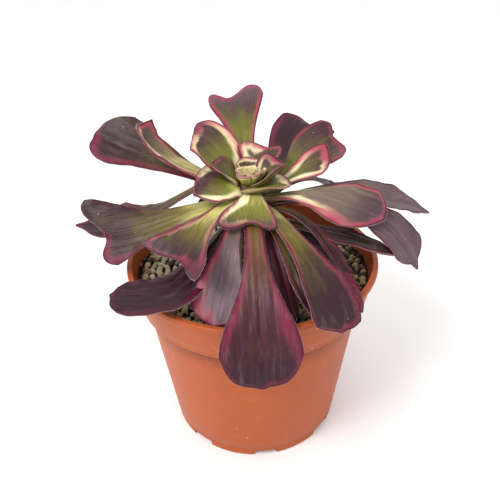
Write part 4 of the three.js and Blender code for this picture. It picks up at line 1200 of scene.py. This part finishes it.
leaf_young = leaf_material("leaf_young_skin", paint(78, 80, 22), paint(142, 140, 58), paint(34, 12, 20),
                           paint(88, 52, 58), gloss=0.34, sheen_share=0.06)
leaf_old = leaf_material("leaf_old_skin", paint(70, 62, 22), paint(128, 114, 54), paint(18, 4, 11),
                         paint(70, 36, 48), gloss=0.3, sheen_share=0.12)
print("materials:", leaf_young.name, leaf_old.name)

# %% Put the numbers on a mesh
def along_leaf(values, s):
    """A value that is given at even steps from the foot to the tip."""
    return np.interp(np.clip(s, 0, 1), np.linspace(0, 1, len(values)), values)


def flat_places(skins, cell):
    """Each point's place on its leaf laid flat, as the leaves' own map has it."""
    return np.stack([skins["x"].reshape(-1)[cell] / UV_MM + 0.5, skins["y"].reshape(-1)[cell] / UV_MM], -1)


def keep_numbers(mesh, numbers, flats):
    for name, values in numbers.items():
        layer = mesh.attributes.new(name, "FLOAT", "POINT")
        layer.data.foreach_set("value", np.asarray(values, np.float32))
    uv = mesh.uv_layers.new(name="Blade")
    corner = np.empty(len(mesh.loops), np.int32)
    mesh.loops.foreach_get("vertex_index", corner)
    uv.data.foreach_set("uv", flats[corner].astype(np.float32).reshape(-1))


def mark_leaf(mesh, skins, cell, under, marks, seed):
    s = skins["s"].reshape(-1)[cell]
    u = skins["u"].reshape(-1)[cell]
    to_hi = smooth_step((u + 0.25) / 0.5)
    rose = along_leaf(marks["lo"][0], s) * (1 - to_hi) + along_leaf(marks["hi"][0], s) * to_hi
    cream = along_leaf(marks["lo"][1], s) * (1 - to_hi) + along_leaf(marks["hi"][1], s) * to_hi
    numbers = dict(rim=skins["rim"].reshape(-1)[cell], rose=rose, cream=cream,
                   dusk=along_leaf(marks["dusk"], s), blush=np.full(len(s), marks["blush"]),
                   red=along_leaf(marks.get("red", (0, 0, 0)), s),
                   ash=along_leaf(marks.get("ash", (0, 0, 0)), s), under=under, seed=np.full(len(s), seed))
    keep_numbers(mesh, numbers, flat_places(skins, cell))


print("markings helper ready")

# %% Grow the leaves
YOUNG_COUNT = 10    # the first leaves of the table are the rosette's young ones
SEED_STEP = 0.37    # keeps the streaks of one leaf from repeating on the next
AGES, RUFFLES = (0.2, 1.0), (0.2, 0.42)   # for a young leaf and for an old one
margins = []
leaf_total = 0
for number, spec in enumerate(LEAVES):
    young = number < YOUNG_COUNT
    leaf = {**LEAF_DEFAULTS, "seed": SEED_STEP * number, "age": AGES[not young], "crease": 0.22,
            "ruffle": RUFFLES[not young], **spec}
    skins = leaf_skins(leaf)
    points, faces, cell, under = leaf_mesh(skins)
    piece = make_object(spec["name"] + "_blade", points, faces, [leaf_young if young else leaf_old])
    marks = {**(YOUNG if young else OLD), **MARKINGS.get(spec["name"], {})}
    mark_leaf(piece.data, skins, cell, under, marks, leaf["seed"])
    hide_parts(spec["name"])
    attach(piece, "root")
    margins.append(skins)
    leaf_total += count_triangles(piece)
print("leaf pieces:", len(LEAVES), "with", leaf_total, "triangles")

# %% [markdown]
# ## The bud
#
# In the middle the youngest leaves still stand together. They follow each other at the golden angle,
# and each is a little smaller, steeper and higher than the one before it, which is the rule of the
# whole rosette in small. They stand on a low dome, the growing point.

# %% Bud
HEART_BASE, HEART_COUNT, HEART_HOOD = 130.1, 13, 3
bud_points, bud_faces, bud_parts = [], [], []
offset = 0
for i in range(HEART_COUNT):
    k = i / (HEART_COUNT - 1)
    hood = HEART_HOOD if i == 0 else 0
    leaf = {**LEAF_DEFAULTS, "seed": 1.7 * i + 20, "age": 0.0, "crease": 0.06, "ruffle": 0.04,
            "az": 100 + i * GOLDEN_ANGLE, "root": 2.4 - 1.6 * k, "base": HEART_BASE + 0.9 + 2.6 * k,
            "reach": 8.6 - 6 * k + 0.2 * hood, "tip": HEART_BASE + 5.6 + 1.2 * k + hood, "climb": 12 + 40 * k,
            "fall": 48 + 30 * k, "blade": 9.8 - 6.6 * k + hood, "neck": 4.6 - 2.6 * k + 0.6 * hood,
            "cup": 0.5, "wave": 0.15, "round": 0.3, "mucro": 0.05}
    skins = leaf_skins(leaf, 0.5, 7)
    points, faces, cell, under = leaf_mesh(skins)
    bud_parts.append((skins, cell, under, leaf["seed"], k))
    bud_points.append(points)
    bud_faces.append(faces + offset)
    offset += len(points)
    margins.append(skins)
dome_profile = [(0, 0), (3.9, 0), (3.6, 2.2), (1.6, 4.4), (0, 5)]
print("bud leaves:", HEART_COUNT, "points:", offset)

# %% Bud as one piece
def bud_numbers():
    """The same numbers as on the leaves, for the whole bud at once."""
    rows = {name: [] for name in ("rim", "rose", "cream", "dusk", "blush", "red", "ash", "under", "seed")}
    flats = []
    for skins, cell, under, seed, k in bud_parts:
        s = skins["s"].reshape(-1)[cell]
        n = len(s)
        outer = float(k == 0)   # the first leaf is the oldest and darkest
        rows["rim"].append(skins["rim"].reshape(-1)[cell] * 2.4)
        rows["rose"].append(0.5 * (1 - k) + 0.5 * s + 1.4 * outer)
        rows["cream"].append(np.full(n, 0.8 + 0.8 * (1 - k)))
        rows["dusk"].append(0.35 * s * (1 - k) - 0.5 + 0.9 * outer)
        rows["blush"].append(np.full(n, 0.3 + 0.3 * outer))
        rows["red"].append(np.zeros(n))
        rows["ash"].append(np.zeros(n))
        rows["under"].append(under * 0.4)
        rows["seed"].append(np.full(n, seed))
        flats.append(flat_places(skins, cell))
    return {name: np.concatenate(v) for name, v in rows.items()}, np.concatenate(flats)


dome = turned("dome", np.array([(r, HEART_BASE + z) for r, z in dome_profile], float), 32)
dome_points = np.array([v.co for v in dome.data.vertices]) / MM
dome_faces = [[offset + i for i in p.vertices] for p in dome.data.polygons]
bpy.data.objects.remove(dome)
all_points = np.concatenate(bud_points + [dome_points])
all_faces = [tuple(f) for part in bud_faces for f in part] + dome_faces
rosette_bud = make_object("rosette_bud", all_points, all_faces, [leaf_young])
numbers, flats = bud_numbers()
fill = dict(rim=9.0, rose=0.0, cream=0.0, dusk=0.0, blush=0.3, red=0.0, ash=0.0, under=0.0, seed=3.0)
numbers = {name: np.concatenate([values, np.full(len(dome_points), fill[name])])
           for name, values in numbers.items()}
keep_numbers(rosette_bud.data, numbers, np.concatenate([flats, dome_points[:, :2] / UV_MM + 0.5]))
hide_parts("rosette_heart")
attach(rosette_bud, "root")
print("bud:", count_triangles(rosette_bud), "triangles")

# %% [markdown]
# ## Teeth on the margins
#
# Seen close, an aeonium's margin is fringed with stiff pale teeth a quarter of a millimetre long. They
# catch the light as a thin bright line. A tree turns the leaf outlines into curves, steps along them
# at an even distance and sets a tiny cone at each step, pointing out of the blade.

# %% Outlines to carry the teeth
TOOTHLESS_ROWS = 5   # the foot of a leaf has no teeth
line_points, line_edges, line_out = [], [], []
for skins in margins:
    rows, cols = skins["t"].shape
    way_round = [(i, 0) for i in range(TOOTHLESS_ROWS, rows)] + [(rows - 1, j) for j in range(1, cols)] + [
        (i, cols - 1) for i in range(rows - 2, TOOTHLESS_ROWS - 1, -1)]
    start_at = len(line_points)
    for i, j in way_round:
        at_side = j in (0, cols - 1)
        outward = skins["across"][i, j] * np.sign(skins["u"][i, j]) if at_side else skins["ahead"][i, j]
        if i == rows - 1 and at_side:
            outward = outward + skins["ahead"][i, j]
        line_points.append(skins["top"][i, j])
        line_out.append(outward / np.linalg.norm(outward))
    line_edges += [(k, k + 1) for k in range(start_at, len(line_points) - 1)]
mesh = bpy.data.meshes.new("margin_teeth")
mesh.from_pydata((np.array(line_points) * MM).tolist(), line_edges, [])
layer = mesh.attributes.new("outward", "FLOAT_VECTOR", "POINT")
layer.data.foreach_set("vector", np.array(line_out, np.float32).reshape(-1))
margin_teeth = bpy.data.objects.new("margin_teeth", mesh)
bpy.context.scene.collection.objects.link(margin_teeth)
print("outline points:", len(line_points))

# %% Tooth colour
tooth_horn, w, shader = finished_material("leaf_tooth")
place = w.place()
cloud = mottle(w, place, 200.0, 2.0)
tone = w.blend(cloud, paint(150, 104, 106), paint(226, 204, 194))
feed(w, shader, Base_Color=tone, Roughness=w.add(w.mul(cloud, 0.1), 0.45))
print("material:", tooth_horn.name)

# %% Teeth tree
teeth_tree, w, put = geometry_tree("margin teeth", {
    "Spacing": ("Float", 0.0009), "Length": ("Float", 0.0003), "Seed": ("Int", 2),
    "Material": ("Material", None)})
curves = w.node("GeometryNodeMeshToCurve", {0: put["Geometry"]}).outputs[0]
steps = w.node("GeometryNodeResampleCurve", {0: curves, 3: put["Spacing"]}, mode="LENGTH").outputs[0]
outward = w.node("GeometryNodeInputNamedAttribute", {0: "outward"}, data_type="FLOAT_VECTOR").outputs[0]
jitter = w.random_vector((-0.35, -0.35, -0.35), (0.35, 0.35, 0.35), put["Seed"])
aim = w.node("ShaderNodeVectorMath", {0: outward, 1: jitter}, operation="ADD").outputs[0]
facing = w.facing(aim, "Z")
cone = w.node("GeometryNodeMeshCone", {0: 4, 4: 0.32, 5: 1.0}).outputs[0]
size = w.mul(put["Length"], w.random(0.6, 1.25, put["Seed"]))
even = w.vector(size, size, size)
teeth = w.node("GeometryNodeInstanceOnPoints", {0: steps, 2: cone, 5: facing, 6: even}).outputs[0]
end_tree(w, teeth, put["Material"])
run_tree(margin_teeth, teeth_tree, {"Spacing": 0.95 * MM, "Length": 0.34 * MM, "Seed": 2,
                                    "Material": tooth_horn})
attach(margin_teeth, "root")
print("teeth:", count_triangles(margin_teeth), "triangles")

# %% [markdown]
# ## Loose roots
#
# A few dry roots curl out of the grit. Each is a wandering line, and a tree sweeps a thin round section
# along it, which is how Geometry Nodes make any wire, twig or cord.

# %% Root lines
# Where each root starts, in mm, and the way it first runs, in degrees.
root_starts = [(37, -18, 200), (47, -14, 120), (30, -36, 20), (-38, -30, 80), (-30, -45, 300), (20, 44, 10),
               (-46, 6, 250)]
ROOT_LINKS, ROOT_STEP = 22, 0.62
ROOT_ROOM = 50.0   # the roots stay this near the axis, inside the rim
root_points, root_edges = [], []
for x, y, way in root_starts:
    z = float(bed_height(x, y)) + 1.5
    first = len(root_points)
    bend = rng.uniform(14, 26) * rng.choice((-1, 1))
    for k in range(ROOT_LINKS):
        root_points.append((x, y, z + 0.9 * math.sin(k * 0.32)))
        x += ROOT_STEP * math.cos(math.radians(way))
        y += ROOT_STEP * math.sin(math.radians(way))
        way += bend + rng.uniform(-9, 9)
        inward = min(1.0, ROOT_ROOM / math.hypot(x, y))
        x, y = x * inward, y * inward
    root_edges += [(k, k + 1) for k in range(first, len(root_points) - 1)]
mesh = bpy.data.meshes.new("loose_roots")
mesh.from_pydata((np.array(root_points) * MM).tolist(), root_edges, [])
loose_roots = bpy.data.objects.new("loose_roots", mesh)
bpy.context.scene.collection.objects.link(loose_roots)
print("root lines:", len(root_starts))

# %% Root tree
root_tree, w, put = geometry_tree("swept roots", {
    "Thickness": ("Float", 0.0004), "Material": ("Material", None)})
curves = w.node("GeometryNodeMeshToCurve", {0: put["Geometry"]}).outputs[0]
part = w.node("GeometryNodeSplineParameter").outputs[0]
taper = w.sub(1.0, w.mul(part, 0.6))
ring = w.node("GeometryNodeCurvePrimitiveCircle", {0: 7, 4: put["Thickness"]}).outputs[0]
swept = w.node("GeometryNodeCurveToMesh", {0: curves, 1: ring, 2: taper, 3: True}).outputs[0]
end_tree(w, swept, put["Material"])
run_tree(loose_roots, root_tree, {"Thickness": 0.36 * MM, "Material": stem_bark})
loose_roots.data.shade_smooth()
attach(loose_roots, "root")
print("roots:", count_triangles(loose_roots), "triangles")

# %% [markdown]
# ## Floor and light
#
# A white sweep under soft studio light: an even bright surround, and one large lamp high on the left
# that gives the leaves their sheen and throws a faint shadow to the right of the pot. The view transform
# is plain, so that the white surface comes out white.

# %% Floor
FLOOR_RADIUS, FLOOR_DROP = 6.0, 0.0002   # in metres; the drop keeps the foot and the floor from sharing a plane
floor_paint, w, shader = finished_material("studio_floor")
place = w.place()
tint = w.blend(w.noise(place, 3.0, 1.0), paint(247, 247, 246), paint(250, 250, 249))
feed(w, shader, Base_Color=tint, Roughness=0.9)
bpy.ops.mesh.primitive_circle_add(vertices=96, radius=FLOOR_RADIUS, fill_type="NGON",
                                location=(0, 0, -FLOOR_DROP))
floor = bpy.context.object
floor.name = "studio_floor"
floor.data.materials.append(floor_paint)
print("floor:", floor.name)

# %% Light
WORLD_STRENGTH = 1.04
AIM_HEIGHT = 0.09   # lamps look at the rim of the pot
world = bpy.data.worlds.new("studio")
bpy.context.scene.world = world
world.use_nodes = True
background = world.node_tree.nodes["Background"]
background.inputs["Color"].default_value = (1.0, 1.0, 1.0, 1.0)
background.inputs["Strength"].default_value = WORLD_STRENGTH


def lamp(name, at, size, watts, colour=(1, 1, 1)):
    light = bpy.data.lights.new(name, "AREA")
    light.shape = "DISK"
    light.size = size
    light.energy = watts
    light.color = colour
    holder = bpy.data.objects.new(name, light)
    bpy.context.scene.collection.objects.link(holder)
    spot = Vector(at)
    aim = (Vector((0, 0, AIM_HEIGHT)) - spot).to_track_quat("-Z", "Y").to_matrix().to_4x4()
    holder.matrix_world = Matrix.Translation(spot) @ aim


lamp("key_lamp", at=(-0.6, -0.55, 1.0), size=0.5, watts=9.0, colour=(1.0, 0.99, 0.97))
bpy.context.scene.view_settings.view_transform = "Standard"
bpy.context.scene.view_settings.look = "None"
